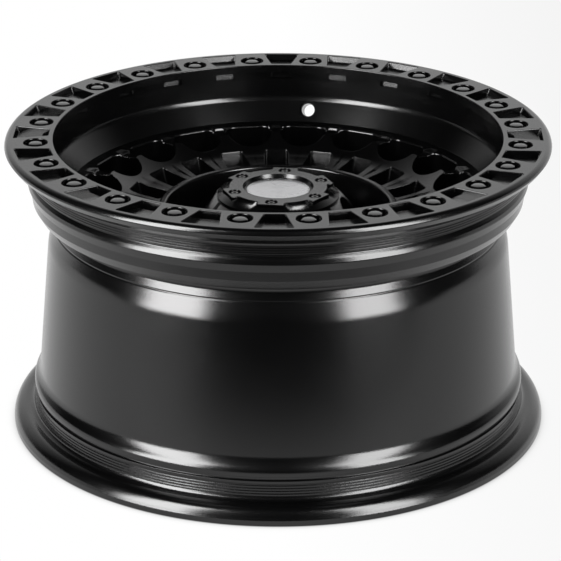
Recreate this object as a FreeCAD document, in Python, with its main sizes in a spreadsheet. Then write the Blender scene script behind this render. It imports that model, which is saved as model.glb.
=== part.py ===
# Off-road alloy wheel, in millimetres: a one-piece casting with a bolted-look outer ring, a web of
# fingers and windows, and a cap screwed over the hub. The wheel's axis is Z. It stands on its inboard
# flange at Z = 0 with the outboard face up. The valve hole, one ring bolt, one oval web hole and one
# cap screw line up towards +Y.
import FreeCAD, Part
import math
import os
import Sketcher
from types import SimpleNamespace
from FreeCAD import Placement, Rotation, Vector

# Driving dimensions: alias, number, meaning.
SIZES = [
    # Rim
    ("seat_radius", 218.3, "bead seat radius of a 17 inch rim"),
    ("rim_width", 228.6, "between the two bead faces, 9 inches"),
    ("flange_height", 18.5, "flange above the bead seat"),
    ("inboard_flange", 15.4, "inboard flange thickness"),
    ("outboard_flange", 17.0, "outboard flange and ring thickness"),
    ("flange_curl", 9.0, "round from the bead face to the lip"),
    ("flange_fillet", 6.5, "fillet from the bead seat to the bead face"),
    ("lip_round", 4.7, "round of the outboard lip"),
    ("foot_round", 2.0, "round of the inboard lip"),
    ("foot_width", 12.0, "flat that the wheel stands on, with its round"),
    ("foot_relief", 12.0, "height of the relief inside the foot"),
    ("seat_taper", 1.2, "fall of each bead seat towards the barrel"),
    ("inboard_seat", 13.8, "inboard bead seat width"),
    ("outboard_seat", 11.0, "outboard bead seat width"),
    ("hump_height", 0.5, "hump above the end of the bead seat"),
    ("hump_width", 3.8, "flat crest of each hump"),
    ("hump_run", 8.0, "slope from the valley up to the outboard hump"),
    ("valley_run", 1.4, "slope from the outboard seat into the valley beside it"),
    ("valley_depth", 1.2, "that valley below the end of the seat"),
    ("bead_groove_depth", 2.0, "groove between the inboard seat and hump, below the crest"),
    ("bead_groove_width", 2.6, "groove between the inboard seat and hump"),
    ("bead_ridge_width", 2.4, "ridge between the inboard seat and the groove"),
    ("hump_slope", 0.5, "run of each small slope beside the groove"),
    ("flare_run", 9.0, "slope from the inboard hump to the barrel"),
    ("barrel_drop", 6.2, "barrel's inboard end below the bead seat"),
    ("flare_round", 5.0, "round between the barrel and that slope"),
    ("barrel_taper", 10.7, "fall of the barrel from its inboard end to the well ramp"),
    ("ramp_run", 25.0, "height of the ramp out of the well"),
    ("ramp_round", 40.0, "round between the ramp and the barrel"),
    ("well_depth", 26.3, "well below the bead seat"),
    ("well_round", 6.0, "round at the bottom of the well"),
    ("well_slope", 5.8, "rise of the well's steep side"),
    ("ledge_drop", 5.3, "ledge over the well, below the bead seat"),
    ("ledge_width", 6.5, "ledge over the well"),
    ("ledge_slope", 12.5, "slope from the outboard hump to the ledge"),
    ("barrel_wall", 6.2, "barrel wall, measured level"),
    ("well_wall", 7.0, "wall between the well and the face side"),
    # Ring
    ("ring_width", 41.8, "ring face from the lip inwards"),
    ("ring_edge", 7.5, "height of the ring's inner edge"),
    ("undercut_depth", 5.3, "undercut behind the ring's inner edge"),
    ("undercut_height", 4.5, "height of the undercut"),
    ("shoulder_step", 5.3, "shoulder of the inner wall, in from the undercut"),
    ("shoulder_drop", 17.0, "from the undercut down to the shoulder"),
    ("shoulder_round", 8.0, "round of the shoulder"),
    ("bolt_count", 24, "ring bolts, and pockets between them"),
    ("bolt_inset", 26.8, "from the lip to the bolt circle"),
    ("bolt_recess_radius", 10.5, "counterbore round a bolt head"),
    ("bolt_flats", 11.1, "bolt head across flats"),
    ("bolt_head", 5.5, "bolt head height"),
    ("bolt_sink", 0.5, "bolt head below the ring face"),
    ("bolt_shank_radius", 3.0, "bolt shank"),
    ("bolt_shank_length", 14.0, "bolt shank below the head"),
    ("thread_clearance", 0.1, "between a shank and its hole"),
    ("hole_spare", 1.0, "hole below the end of a shank"),
    ("pocket_inner_rim", 4.0, "ring face left inside a pocket"),
    ("pocket_outer_rim", 7.8, "ring face left outside a pocket"),
    ("pocket_inner_width", 17.6, "pocket's inner end"),
    ("pocket_outer_width", 32.0, "pocket's outer end"),
    ("pocket_depth", 5.0, "pocket's outer shelf below the ring face"),
    ("pocket_shelf", 22.0, "length of that shelf"),
    ("pocket_well_depth", 11.5, "pocket's deep inner part below the ring face"),
    # Spoke web
    ("spoke_count", 20, "oval holes, and fingers between them"),
    ("face_depth", 52.1, "finger tips below the ring face"),
    ("finger_web", 5.6, "finger at its narrowest"),
    ("hole_inset", 28.2, "oval hole's centre from the foot of the inner wall"),
    ("hole_length", 33.6, "oval hole along a radius"),
    ("hole_inner_round", 20.5, "corners of the oval hole towards the hub"),
    ("hole_outer_round", 11.0, "corners of the oval hole towards the rim"),
    ("tip_lead", 1.5, "finger tip from the middle of the oval holes"),
    ("tip_step", 2.4, "groove behind the finger tips, below the tips"),
    ("tip_slope", 1.0, "run of each side of that groove"),
    ("web_ledge", 14.5, "level ledge between that groove and the inner wall"),
    ("dish_drop", 16.9, "dish from the finger tips to its level floor"),
    ("dish_run", 24.3, "run of the dish's slope"),
    ("dish_round", 65.0, "round between that slope and the floor"),
    ("web_thickness", 17.0, "web behind the finger tips"),
    ("web_overlap", 5.0, "web sunk into the rim wall"),
    ("web_haunch", 34.0, "back of the web, from the inner wall to its bend"),
    ("window_bridge", 21.8, "window's outer end from the circle of oval holes"),
    ("window_width", 22.0, "window across"),
    ("window_round", 3.0, "window corners"),
    ("window_rim", 1.5, "dish between the hub lip and a window"),
    # Hub
    ("hub_lip_radius", 105.0, "outside of the lip round the hub bowl"),
    ("hub_lip_width", 6.5, "lip across"),
    ("hub_lip_height", 3.5, "lip above the dish"),
    ("hub_lip_round", 2.0, "round of the lip's edges"),
    ("bowl_draft", 9.0, "bowl wall, from the lip to its floor"),
    ("bowl_wall", 11.0, "wall behind the bowl"),
    ("pad_offset", 12.0, "mounting face inboard of the rim's middle"),
    ("pad_radius", 84.0, "mounting face"),
    ("pad_bevel", 4.0, "bevel of the mounting face"),
    ("hub_thickness", 34.0, "bowl floor above the mounting face"),
    ("bore_radius", 53.1, "centre bore"),
    ("bore_depth", 16.0, "centre bore depth"),
    ("bore_shelf", 7.0, "shelf at the end of the centre bore"),
    ("boss_radius", 55.5, "top of the hub boss"),
    ("boss_flare", 10.5, "spread of the boss below its top"),
    ("boss_flare_height", 12.0, "height of that spread"),
    ("boss_drop", 5.4, "top of the hub boss, below the finger tips"),
    ("boss_plate", 14.0, "plate at the top of the hub boss"),
    ("boss_opening", 30.0, "radius of the opening in that plate"),
    ("lug_count", 6, "lug holes, and cap screws"),
    ("lug_circle_radius", 69.85, "half of a 139.7 mm lug circle"),
    ("lug_hole_radius", 7.75, "lug hole"),
    ("lug_seat_radius", 12.0, "wide end of the conical seat"),
    ("lug_seat_height", 12.0, "straight lug hole under the seat"),
    ("lug_pocket_radius", 15.0, "socket room round a lug nut"),
    ("lug_pocket_edge", 1.0, "boss foot outside a lug pocket"),
    # Valve hole
    ("valve_radius", 6.0, "valve hole"),
    ("valve_seat_radius", 9.0, "spot face round the valve hole"),
    ("valve_seat_depth", 1.2, "spot face depth"),
    ("valve_drop", 12.2, "valve hole below the shoulder"),
    ("valve_tilt", 22.0, "valve hole below level, going outwards"),
    # Cap
    ("cap_radius", 53.4, "cap at its widest"),
    ("cap_height", 8.8, "cap above the hub boss"),
    ("cap_skirt", 2.0, "upright edge of the cap"),
    ("cap_slope", 10.4, "slope from that edge to the top, between two tabs"),
    ("cap_face_width", 12.0, "flat top round the dish"),
    ("cap_tab_width", 23.0, "tab round a cap screw"),
    ("cap_tab_edge", 1.4, "flat end of a tab, in from the cap's edge"),
    ("spigot_clearance", 0.2, "between the cap's spigot and the opening in the boss"),
    ("spigot_length", 6.0, "spigot in that opening"),
    ("emblem_radius", 28.5, "recess for the emblem disc"),
    ("emblem_depth", 1.5, "emblem disc thickness"),
    ("emblem_drop", 6.3, "emblem disc below the cap's top"),
    ("emblem_clearance", 0.2, "round the emblem disc"),
    ("screw_circle_radius", 40.6, "circle of cap screws"),
    ("screw_recess_radius", 5.2, "counterbore round a screw head"),
    ("screw_recess_depth", 4.6, "counterbore round a screw head"),
    ("screw_head_radius", 4.0, "screw head"),
    ("screw_head", 4.0, "screw head height"),
    ("screw_socket_flats", 4.0, "hex socket across flats"),
    ("screw_socket_depth", 2.2, "hex socket"),
    ("screw_shank_radius", 2.5, "screw shank"),
    ("screw_grip", 8.0, "screw shank in the hub boss"),
    ("cutting_room", 20.0, "how far a cutter starts clear of the solid"),
]

XY, XZ, YZ = "XY_Plane", "XZ_Plane", "YZ_Plane"
UP = Vector(0, 0, 1)
ORIGIN, X_AXIS, Y_AXIS = -1, -1, -2
START, END, MIDDLE = 1, 2, 3


class Size:
    """A length that knows its number and the expression that gives it from the sheet."""

    def __init__(self, number, text):
        self.number = number
        self.text = text

    def __add__(self, other):
        return Size(self.number + other.number, f"({self.text} + {other.text})")

    def __sub__(self, other):
        return Size(self.number - other.number, f"({self.text} - {other.text})")

    def __mul__(self, other):
        return Size(self.number * other.number, f"({self.text} * {other.text})")

    def __truediv__(self, other):
        return Size(self.number / other.number, f"({self.text} / {other.text})")

    def __neg__(self):
        return Size(-self.number, f"(-{self.text})")


def plain(number):
    """A bare number as a Size."""
    return Size(number, str(number))


def sine(degrees):
    return Size(math.sin(math.radians(degrees.number)), f"sin({degrees.text})")


ZERO, TWO = plain(0), plain(2)
HALF_TURN, ROOT_THREE = plain(180), plain(math.sqrt(3))

doc = FreeCAD.newDocument("alloy_wheel")
sheet = doc.addObject("Spreadsheet::Sheet", "sizes")
for row, (alias, number, meaning) in enumerate(SIZES, start=1):
    sheet.set(f"A{row}", meaning)
    sheet.set(f"B{row}", str(number))
    sheet.setAlias(f"B{row}", alias)
doc.recompute()
s = SimpleNamespace(**{alias: Size(sheet.get(alias), f"sizes.{alias}") for alias, _, _ in SIZES})

# Heights and radii that several pieces share.
ring_face = s.inboard_flange + s.rim_width + s.outboard_flange
outboard_bead = s.inboard_flange + s.rim_width
lip_radius = s.seat_radius + s.flange_height
ring_inner_radius = lip_radius - s.ring_width
bolt_circle = lip_radius - s.bolt_inset
bolt_seat = ring_face - s.bolt_sink - s.bolt_head
well_radius = s.seat_radius - s.well_depth
wall_foot_radius = well_radius - s.well_wall
shoulder_radius = ring_inner_radius + s.undercut_depth - s.shoulder_step
shoulder_height = ring_face - s.ring_edge - s.undercut_height - s.shoulder_drop
tip_height = ring_face - s.face_depth
web_height = tip_height - s.tip_step
web_back = web_height - s.web_thickness
pad_height = s.inboard_flange + s.rim_width / TWO - s.pad_offset
boss_height = tip_height - s.boss_drop
hole_circle = wall_foot_radius - s.hole_inset
cap_top = boss_height + s.cap_height
screw_seat = cap_top - s.screw_recess_depth


def new_body(name):
    return doc.addObject("PartDesign::Body", name)


def new_sketch(body, name, plane, lift=ZERO, turn=ZERO):
    """An empty sketch on one of the body's own planes, lifted along its normal and turned about it."""
    sketch = body.newObject("Sketcher::SketchObject", name)
    support = next(item for item in body.Origin.OriginFeatures if item.Role == plane)
    sketch.AttachmentSupport = [(support, "")]
    sketch.MapMode = "FlatFace"
    sketch.AttachmentOffset = Placement(Vector(0, 0, lift.number), Rotation(UP, turn.number))
    sketch.setExpression("AttachmentOffset.Base.z", lift.text)
    sketch.setExpression("AttachmentOffset.Rotation.Angle", turn.text)
    return sketch


def pin(sketch, geometry, position, x, y):
    """Ties one point of a sketch to a place given by two sizes."""
    for kind, axis, size in (("DistanceX", Y_AXIS, x), ("DistanceY", X_AXIS, y)):
        if size is ZERO:
            sketch.addConstraint(Sketcher.Constraint("PointOnObject", geometry, position, axis))
        else:
            rule = Sketcher.Constraint(kind, ORIGIN, START, geometry, position, size.number)
            index = sketch.addConstraint(rule)
            sketch.setExpression(f"Constraints[{index}]", size.text)


def set_radius(sketch, geometry, radius):
    index = sketch.addConstraint(Sketcher.Constraint("Radius", geometry, radius.number))
    sketch.setExpression(f"Constraints[{index}]", radius.text)


def circle(sketch, x, y, radius):
    """A circle about a place given by two sizes."""
    shape = Part.Circle(Vector(x.number, y.number, 0), UP, radius.number)
    geometry = sketch.addGeometry(shape)
    pin(sketch, geometry, MIDDLE, x, y)
    set_radius(sketch, geometry, radius)
    return sketch


def outline(sketch, corners):
    """A closed outline through corners (x, y) or (x, y, round), the rounds as tangent arcs."""
    points = [Vector(corner[0].number, corner[1].number, 0) for corner in corners]
    rounds = [corner[2] if len(corner) > 2 else None for corner in corners]
    starts, ends, arcs = [], [], []
    for index, (point, radius) in enumerate(zip(points, rounds)):
        before = (point - points[index - 1]).normalize()
        after = (points[(index + 1) % len(points)] - point).normalize()
        reach = radius.number * math.tan(before.getAngle(after) / 2) if radius else 0
        starts.append(point - before * reach)
        ends.append(point + after * reach)
        left = before.cross(after).z > 0
        side = UP.cross(before) * (1 if left else -1)
        arcs.append((left, starts[-1] + side * radius.number if radius else None))
    lines = [
        sketch.addGeometry(Part.LineSegment(ends[index], starts[(index + 1) % len(points)]))
        for index in range(len(points))
    ]
    for index, (x, y, *_) in enumerate(corners):
        line_in, line_out = lines[index - 1], lines[index]
        if not rounds[index]:
            sketch.addConstraint(Sketcher.Constraint("Coincident", line_in, END, line_out, START))
            pin(sketch, line_out, START, x, y)
            continue
        left, centre = arcs[index]
        first, last = (starts[index], ends[index]) if left else (ends[index], starts[index])
        angles = [math.atan2(place.y - centre.y, place.x - centre.x) for place in (first, last)]
        ring = Part.Circle(centre, UP, rounds[index].number)
        arc = sketch.addGeometry(Part.ArcOfCircle(ring, *angles))
        corner = sketch.addGeometry(Part.Point(points[index]), True)
        sketch.addConstraint([
            Sketcher.Constraint("Tangent", line_in, END, arc, START if left else END),
            Sketcher.Constraint("Tangent", line_out, START, arc, END if left else START),
            Sketcher.Constraint("PointOnObject", corner, START, line_in),
            Sketcher.Constraint("PointOnObject", corner, START, line_out),
        ])
        pin(sketch, corner, START, x, y)
        set_radius(sketch, arc, rounds[index])
    return sketch


def revolve(body, sketch, name):
    """Turns a half section in an upright plane about the wheel's axis."""
    feature = body.newObject("PartDesign::Revolution", name)
    feature.Profile = sketch
    feature.ReferenceAxis = (sketch, ["V_Axis"])
    feature.Angle = 360
    doc.recompute()
    return feature


def pad(body, sketch, name, length, down=False):
    feature = body.newObject("PartDesign::Pad", name)
    feature.Profile = sketch
    feature.setExpression("Length", length.text)
    feature.Reversed = down
    doc.recompute()
    return feature


def require_cut(body, feature, volume):
    """Stops if a cutting feature took nothing away."""
    doc.recompute()
    if not feature.Shape.Volume < volume:
        raise RuntimeError(f"{feature.Label} cuts nothing from {body.Label}")
    return feature


def pocket(body, sketch, name, depth=None):
    """Cuts a sketch against its normal, right through if no depth is given."""
    volume = body.Shape.Volume
    feature = body.newObject("PartDesign::Pocket", name)
    feature.Profile = sketch
    if depth is None:
        feature.Type = "ThroughAll"
    else:
        feature.setExpression("Length", depth.text)
    return require_cut(body, feature, volume)


def pattern(body, name, originals, count):
    """Repeats features evenly round the wheel's axis."""
    feature = body.newObject("PartDesign::PolarPattern", name)
    feature.Originals = originals
    feature.Axis = (next(item for item in body.Origin.OriginFeatures if item.Role == "Z_Axis"), [""])
    feature.Angle = 360
    feature.setExpression("Occurrences", count.text)
    body.Tip = feature
    doc.recompute()
    return feature


def hexagon(sketch, y, flats):
    """A hexagon on the sketch's Y axis, with two corners level."""
    side = flats / ROOT_THREE
    half_side, half_flats = side / TWO, flats / TWO
    return outline(sketch, [
        (side, y),
        (half_side, y + half_flats),
        (-half_side, y + half_flats),
        (-side, y),
        (-half_side, y - half_flats),
        (half_side, y - half_flats),
    ])


def slot(sketch, half_width, inner, outer, inner_round, outer_round):
    """A rectangle with rounded corners across the sketch's Y axis, between two heights on it."""
    return outline(sketch, [
        (half_width, inner, inner_round),
        (half_width, outer, outer_round),
        (-half_width, outer, outer_round),
        (-half_width, inner, inner_round),
    ])


def repeat_round(seed, label, count):
    """One object that holds copies of a seed body evenly round the wheel's axis, as separate solids."""
    step = 360 / count.number
    copies = []
    for index in range(int(count.number)):
        copy = seed.Shape.copy()
        copy.rotate(Vector(0, 0, 0), UP, index * step)
        copies.append(copy)
    group = doc.addObject("Part::Feature", label)
    group.Shape = Part.makeCompound(copies)
    return group


def rim_section():
    """Half section of the rim: outside from foot to ring face, then inside back down."""
    seat_end = s.inboard_flange + s.inboard_seat
    ridge_end = seat_end + s.hump_slope + s.bead_ridge_width
    groove_start = ridge_end + s.hump_slope
    groove_end = groove_start + s.bead_groove_width
    crest_start = groove_end + s.hump_slope
    crest_end = crest_start + s.hump_width
    barrel_start = crest_end + s.flare_run
    outer_seat_end = outboard_bead - s.outboard_seat
    valley = outer_seat_end - s.valley_run
    outer_crest_top = valley - s.hump_run
    outer_crest_foot = outer_crest_top - s.hump_width
    ledge_top = outer_crest_foot - s.ledge_slope
    ledge_foot = ledge_top - s.ledge_width
    well_floor = ledge_foot - s.well_slope
    barrel_end = well_floor - s.ramp_run
    taper_radius = s.seat_radius - s.seat_taper
    crest_radius = taper_radius + s.hump_height
    groove_radius = crest_radius - s.bead_groove_depth
    ledge_radius = s.seat_radius - s.ledge_drop
    barrel_start_radius = s.seat_radius - s.barrel_drop
    barrel_end_radius = barrel_start_radius - s.barrel_taper
    foot_radius = lip_radius - s.foot_width
    edge_foot = ring_face - s.ring_edge
    undercut_radius = ring_inner_radius + s.undercut_depth
    return [
        (foot_radius, ZERO),
        (lip_radius, ZERO, s.foot_round),
        (lip_radius, s.inboard_flange, s.flange_curl),
        (s.seat_radius, s.inboard_flange, s.flange_fillet),
        (taper_radius, seat_end),
        (crest_radius, seat_end + s.hump_slope),
        (crest_radius, ridge_end),
        (groove_radius, groove_start),
        (groove_radius, groove_end),
        (crest_radius, crest_start),
        (crest_radius, crest_end),
        (barrel_start_radius, barrel_start, s.flare_round),
        (barrel_end_radius, barrel_end, s.ramp_round),
        (well_radius, well_floor, s.well_round),
        (ledge_radius, ledge_foot),
        (ledge_radius, ledge_top),
        (crest_radius, outer_crest_foot),
        (crest_radius, outer_crest_top),
        (taper_radius - s.valley_depth, valley),
        (taper_radius, outer_seat_end),
        (s.seat_radius, outboard_bead, s.flange_fillet),
        (lip_radius, outboard_bead, s.flange_curl),
        (lip_radius, ring_face, s.lip_round),
        (ring_inner_radius, ring_face),
        (ring_inner_radius, edge_foot),
        (undercut_radius, edge_foot),
        (undercut_radius, edge_foot - s.undercut_height),
        (shoulder_radius, shoulder_height, s.shoulder_round),
        (wall_foot_radius, tip_height),
        (wall_foot_radius, web_back),
        (barrel_end_radius - s.barrel_wall, barrel_end),
        (barrel_start_radius - s.barrel_wall, barrel_start),
        (barrel_start_radius - s.barrel_wall, s.foot_relief),
    ]


def centre_section():
    """Half section of the spoke web and hub: web, dish, bowl and boss on top, then bore, pad and back."""
    tip_radius = hole_circle - s.tip_lead
    ledge_radius = wall_foot_radius - s.web_ledge
    dish_foot = tip_height - s.dish_drop
    lip_top = dish_foot + s.hub_lip_height
    lip_inner_radius = s.hub_lip_radius - s.hub_lip_width
    bowl_radius = lip_inner_radius - s.bowl_draft
    bowl_floor = pad_height + s.hub_thickness
    boss_foot_radius = s.lug_circle_radius + s.lug_pocket_radius + s.lug_pocket_edge
    plate_foot = boss_height - s.boss_plate
    bore_end = pad_height + s.bore_depth
    inner_radius = s.bore_radius - s.bore_shelf
    web_radius = wall_foot_radius + s.web_overlap
    haunch_radius = wall_foot_radius - s.web_haunch
    return [
        (web_radius, tip_height),
        (ledge_radius, tip_height),
        (ledge_radius - s.tip_slope, web_height),
        (tip_radius + s.tip_slope, web_height),
        (tip_radius, tip_height),
        (tip_radius - s.dish_run, dish_foot, s.dish_round),
        (s.hub_lip_radius, dish_foot),
        (s.hub_lip_radius, lip_top, s.hub_lip_round),
        (lip_inner_radius, lip_top, s.hub_lip_round),
        (bowl_radius, bowl_floor),
        (boss_foot_radius, bowl_floor),
        (s.boss_radius + s.boss_flare, boss_height - s.boss_flare_height),
        (s.boss_radius, boss_height),
        (s.boss_opening, boss_height),
        (s.boss_opening, plate_foot),
        (inner_radius, plate_foot),
        (inner_radius, bore_end),
        (s.bore_radius, bore_end),
        (s.bore_radius, pad_height),
        (s.pad_radius, pad_height),
        (s.pad_radius + s.pad_bevel, pad_height + s.pad_bevel),
        (bowl_radius + s.bowl_wall, bowl_floor),
        (haunch_radius, web_back),
        (web_radius, web_back),
    ]


def lug_section(radius):
    """Half section of a lug hole, its seat and its pocket, beside an upright line at the given radius."""
    seat_foot = pad_height + s.lug_seat_height
    seat_top = seat_foot + s.lug_seat_radius - s.lug_hole_radius
    cut_top = boss_height + s.cutting_room
    cut_foot = pad_height - s.cutting_room
    return [
        (radius, cut_foot),
        (radius + s.lug_hole_radius, cut_foot),
        (radius + s.lug_hole_radius, seat_foot),
        (radius + s.lug_seat_radius, seat_top),
        (radius + s.lug_pocket_radius, seat_top),
        (radius + s.lug_pocket_radius, cut_top),
        (radius, cut_top),
    ]


def cut_ring(body):
    """Bolt counterbores and holes, and the two-step pockets between them."""
    half_step = HALF_TURN / s.bolt_count
    recess_sketch = new_sketch(body, "bolt_recess_sketch", XY, ring_face)
    recess = circle(recess_sketch, ZERO, bolt_circle, s.bolt_recess_radius)
    recess_cut = pocket(body, recess, "bolt_recess", s.bolt_sink + s.bolt_head)
    hole_radius = s.bolt_shank_radius + s.thread_clearance
    hole = circle(new_sketch(body, "bolt_hole_sketch", XY, bolt_seat), ZERO, bolt_circle, hole_radius)
    hole_cut = pocket(body, hole, "bolt_hole", s.bolt_shank_length + s.hole_spare)
    pattern(body, "bolt_holes", [recess_cut, hole_cut], s.bolt_count)

    inner, outer = ring_inner_radius + s.pocket_inner_rim, lip_radius - s.pocket_outer_rim
    inner_half, outer_half = s.pocket_inner_width / TWO, s.pocket_outer_width / TWO
    shelf_end = outer - s.pocket_shelf
    shelf_half = outer_half - (outer_half - inner_half) * s.pocket_shelf / (outer - inner)
    mouth = [(inner_half, inner), (outer_half, outer), (-outer_half, outer), (-inner_half, inner)]
    deep = [(inner_half, inner), (shelf_half, shelf_end), (-shelf_half, shelf_end), (-inner_half, inner)]
    mouth_sketch = outline(new_sketch(body, "pocket_sketch", XY, ring_face, half_step), mouth)
    mouth_cut = pocket(body, mouth_sketch, "pocket_mouth", s.pocket_depth)
    deep_sketch = outline(new_sketch(body, "pocket_well_sketch", XY, ring_face, half_step), deep)
    deep_cut = pocket(body, deep_sketch, "pocket_well", s.pocket_well_depth)
    pattern(body, "ring_pockets", [mouth_cut, deep_cut], s.bolt_count)


def cut_web(body):
    """Oval holes that leave fingers between them, and a window inside each finger."""
    cut_start = tip_height + s.cutting_room
    half_step = HALF_TURN / s.spoke_count
    half_hole, half_length = hole_circle * sine(half_step) - s.finger_web / TWO, s.hole_length / TWO
    inner, outer = hole_circle - half_length, hole_circle + half_length
    hole_sketch = new_sketch(body, "web_hole_sketch", XY, cut_start)
    oval = slot(hole_sketch, half_hole, inner, outer, s.hole_inner_round, s.hole_outer_round)
    hole_cut = pocket(body, oval, "web_hole")
    inner, outer = s.hub_lip_radius + s.window_rim, hole_circle - s.window_bridge
    window_sketch = new_sketch(body, "window_sketch", XY, cut_start, half_step)
    window = slot(window_sketch, s.window_width / TWO, inner, outer, s.window_round, s.window_round)
    window_cut = pocket(body, window, "window")
    pattern(body, "web_openings", [hole_cut, window_cut], s.spoke_count)


def cut_hub(body):
    """Lug holes with conical seats, and the cap's screw holes."""
    lug_sketch = outline(new_sketch(body, "lug_sketch", XZ), lug_section(s.lug_circle_radius))
    middle = sketch_axis(lug_sketch, s.lug_circle_radius)
    volume = body.Shape.Volume
    lug_cut = body.newObject("PartDesign::Groove", "lug_hole")
    lug_cut.Profile = lug_sketch
    lug_cut.ReferenceAxis = (lug_sketch, [middle])
    lug_cut.Angle = 360
    require_cut(body, lug_cut, volume)
    radius = s.screw_shank_radius + s.thread_clearance
    screw_sketch = new_sketch(body, "screw_hole_sketch", XY, boss_height)
    screw = circle(screw_sketch, ZERO, s.screw_circle_radius, radius)
    screw_cut = pocket(body, screw, "screw_hole", s.screw_grip + s.hole_spare)
    pattern(body, "hub_holes", [lug_cut, screw_cut], s.lug_count)


def sketch_axis(sketch, x):
    """An upright construction line at x, by the name that a turned feature knows it by."""
    ends = Vector(x.number, 0, 0), Vector(x.number, s.cutting_room.number, 0)
    line = sketch.addGeometry(Part.LineSegment(*ends), True)
    sketch.addConstraint(Sketcher.Constraint("Vertical", line))
    pin(sketch, line, START, x, ZERO)
    length = sketch.addConstraint(Sketcher.Constraint("Distance", line, s.cutting_room.number))
    sketch.setExpression(f"Constraints[{length}]", s.cutting_room.text)
    return "Axis0"


def cut_valve(body):
    """The valve hole, square to the inner wall and tilted down going outwards, with its spot face."""
    share = s.valve_drop / (shoulder_height - tip_height)
    wall_radius = shoulder_radius - (shoulder_radius - wall_foot_radius) * share
    wall_height = shoulder_height - s.valve_drop
    for name, radius, depth in (
        ("valve_seat", s.valve_seat_radius, s.cutting_room + s.valve_seat_depth),
        ("valve_hole", s.valve_radius, None),
    ):
        sketch = circle(new_sketch(body, f"{name}_sketch", XY), ZERO, ZERO, radius)
        lean = Rotation(Vector(1, 0, 0), 90 - s.valve_tilt.number)
        sketch.AttachmentOffset = Placement(Vector(0, wall_radius.number, wall_height.number), lean)
        cos_tilt, sin_tilt = f"cos({s.valve_tilt.text})", f"sin({s.valve_tilt.text})"
        room = s.cutting_room.text
        sketch.setExpression("AttachmentOffset.Base.y", f"{wall_radius.text} - {room} * {cos_tilt}")
        sketch.setExpression("AttachmentOffset.Base.z", f"{wall_height.text} + {room} * {sin_tilt}")
        sketch.setExpression("AttachmentOffset.Rotation.Angle", f"90 - {s.valve_tilt.text}")
        pocket(body, sketch, name, depth)


def make_casting():
    body = new_body("wheel_casting")
    revolve(body, outline(new_sketch(body, "rim_sketch", XZ), rim_section()), "rim")
    revolve(body, outline(new_sketch(body, "centre_sketch", XZ), centre_section()), "centre")
    cut_web(body)
    cut_hub(body)
    cut_valve(body)
    cut_ring(body)
    return body


def make_bolts():
    seed = new_body("ring_bolt")
    head = hexagon(new_sketch(seed, "bolt_head_sketch", XY, bolt_seat), bolt_circle, s.bolt_flats)
    pad(seed, head, "bolt_head_pad", s.bolt_head)
    shank_sketch = new_sketch(seed, "bolt_shank_sketch", XY, bolt_seat)
    shank = circle(shank_sketch, ZERO, bolt_circle, s.bolt_shank_radius)
    pad(seed, shank, "bolt_shank_pad", s.bolt_shank_length, down=True)
    return repeat_round(seed, "ring_bolts", s.bolt_count)


def make_cap():
    body = new_body("centre_cap")
    top_radius = s.cap_radius - s.cap_slope
    dish_radius = top_radius - s.cap_face_width
    recess_floor = cap_top - s.emblem_drop - s.emblem_depth
    skirt_top = boss_height + s.cap_skirt
    spigot_radius = s.boss_opening - s.spigot_clearance
    spigot_end = boss_height - s.spigot_length
    revolve(body, outline(new_sketch(body, "cap_sketch", XZ), [
        (ZERO, spigot_end),
        (spigot_radius, spigot_end),
        (spigot_radius, boss_height),
        (s.cap_radius, boss_height),
        (s.cap_radius, skirt_top),
        (top_radius, cap_top),
        (dish_radius, cap_top),
        (s.emblem_radius, cap_top - s.emblem_drop),
        (s.emblem_radius, recess_floor),
        (ZERO, recess_floor),
    ]), "cap")
    tab_half, tab_end = s.cap_tab_width / TWO, s.cap_radius - s.cap_tab_edge
    tab_root = s.screw_circle_radius - s.screw_recess_radius
    tab = outline(new_sketch(body, "tab_sketch", XY, boss_height), [
        (tab_half, tab_root),
        (tab_half, tab_end),
        (-tab_half, tab_end),
        (-tab_half, tab_root),
    ])
    tab_pad = pad(body, tab, "tab", s.cap_height)
    recess_sketch = new_sketch(body, "screw_recess_sketch", XY, cap_top)
    recess = circle(recess_sketch, ZERO, s.screw_circle_radius, s.screw_recess_radius)
    recess_cut = pocket(body, recess, "screw_recess", s.screw_recess_depth)
    radius = s.screw_shank_radius + s.thread_clearance
    hole_sketch = new_sketch(body, "screw_through_sketch", XY, screw_seat)
    hole = circle(hole_sketch, ZERO, s.screw_circle_radius, radius)
    hole_cut = pocket(body, hole, "screw_through")
    pattern(body, "cap_tabs", [tab_pad, recess_cut, hole_cut], s.lug_count)
    return body


def make_emblem():
    body = new_body("cap_emblem_disc")
    floor = cap_top - s.emblem_drop - s.emblem_depth
    radius = s.emblem_radius - s.emblem_clearance
    disc = circle(new_sketch(body, "emblem_sketch", XY, floor), ZERO, ZERO, radius)
    pad(body, disc, "emblem", s.emblem_depth)
    return body


def make_screws():
    seed = new_body("cap_screw")
    y = s.screw_circle_radius
    head = circle(new_sketch(seed, "screw_head_sketch", XY, screw_seat), ZERO, y, s.screw_head_radius)
    pad(seed, head, "screw_head_pad", s.screw_head)
    shank = circle(new_sketch(seed, "screw_shank_sketch", XY, screw_seat), ZERO, y, s.screw_shank_radius)
    pad(seed, shank, "screw_shank_pad", screw_seat - boss_height + s.screw_grip, down=True)
    socket_sketch = new_sketch(seed, "socket_sketch", XY, screw_seat + s.screw_head)
    socket = hexagon(socket_sketch, y, s.screw_socket_flats)
    pocket(seed, socket, "socket", s.screw_socket_depth)
    return repeat_round(seed, "cap_screws", s.lug_count)


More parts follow.
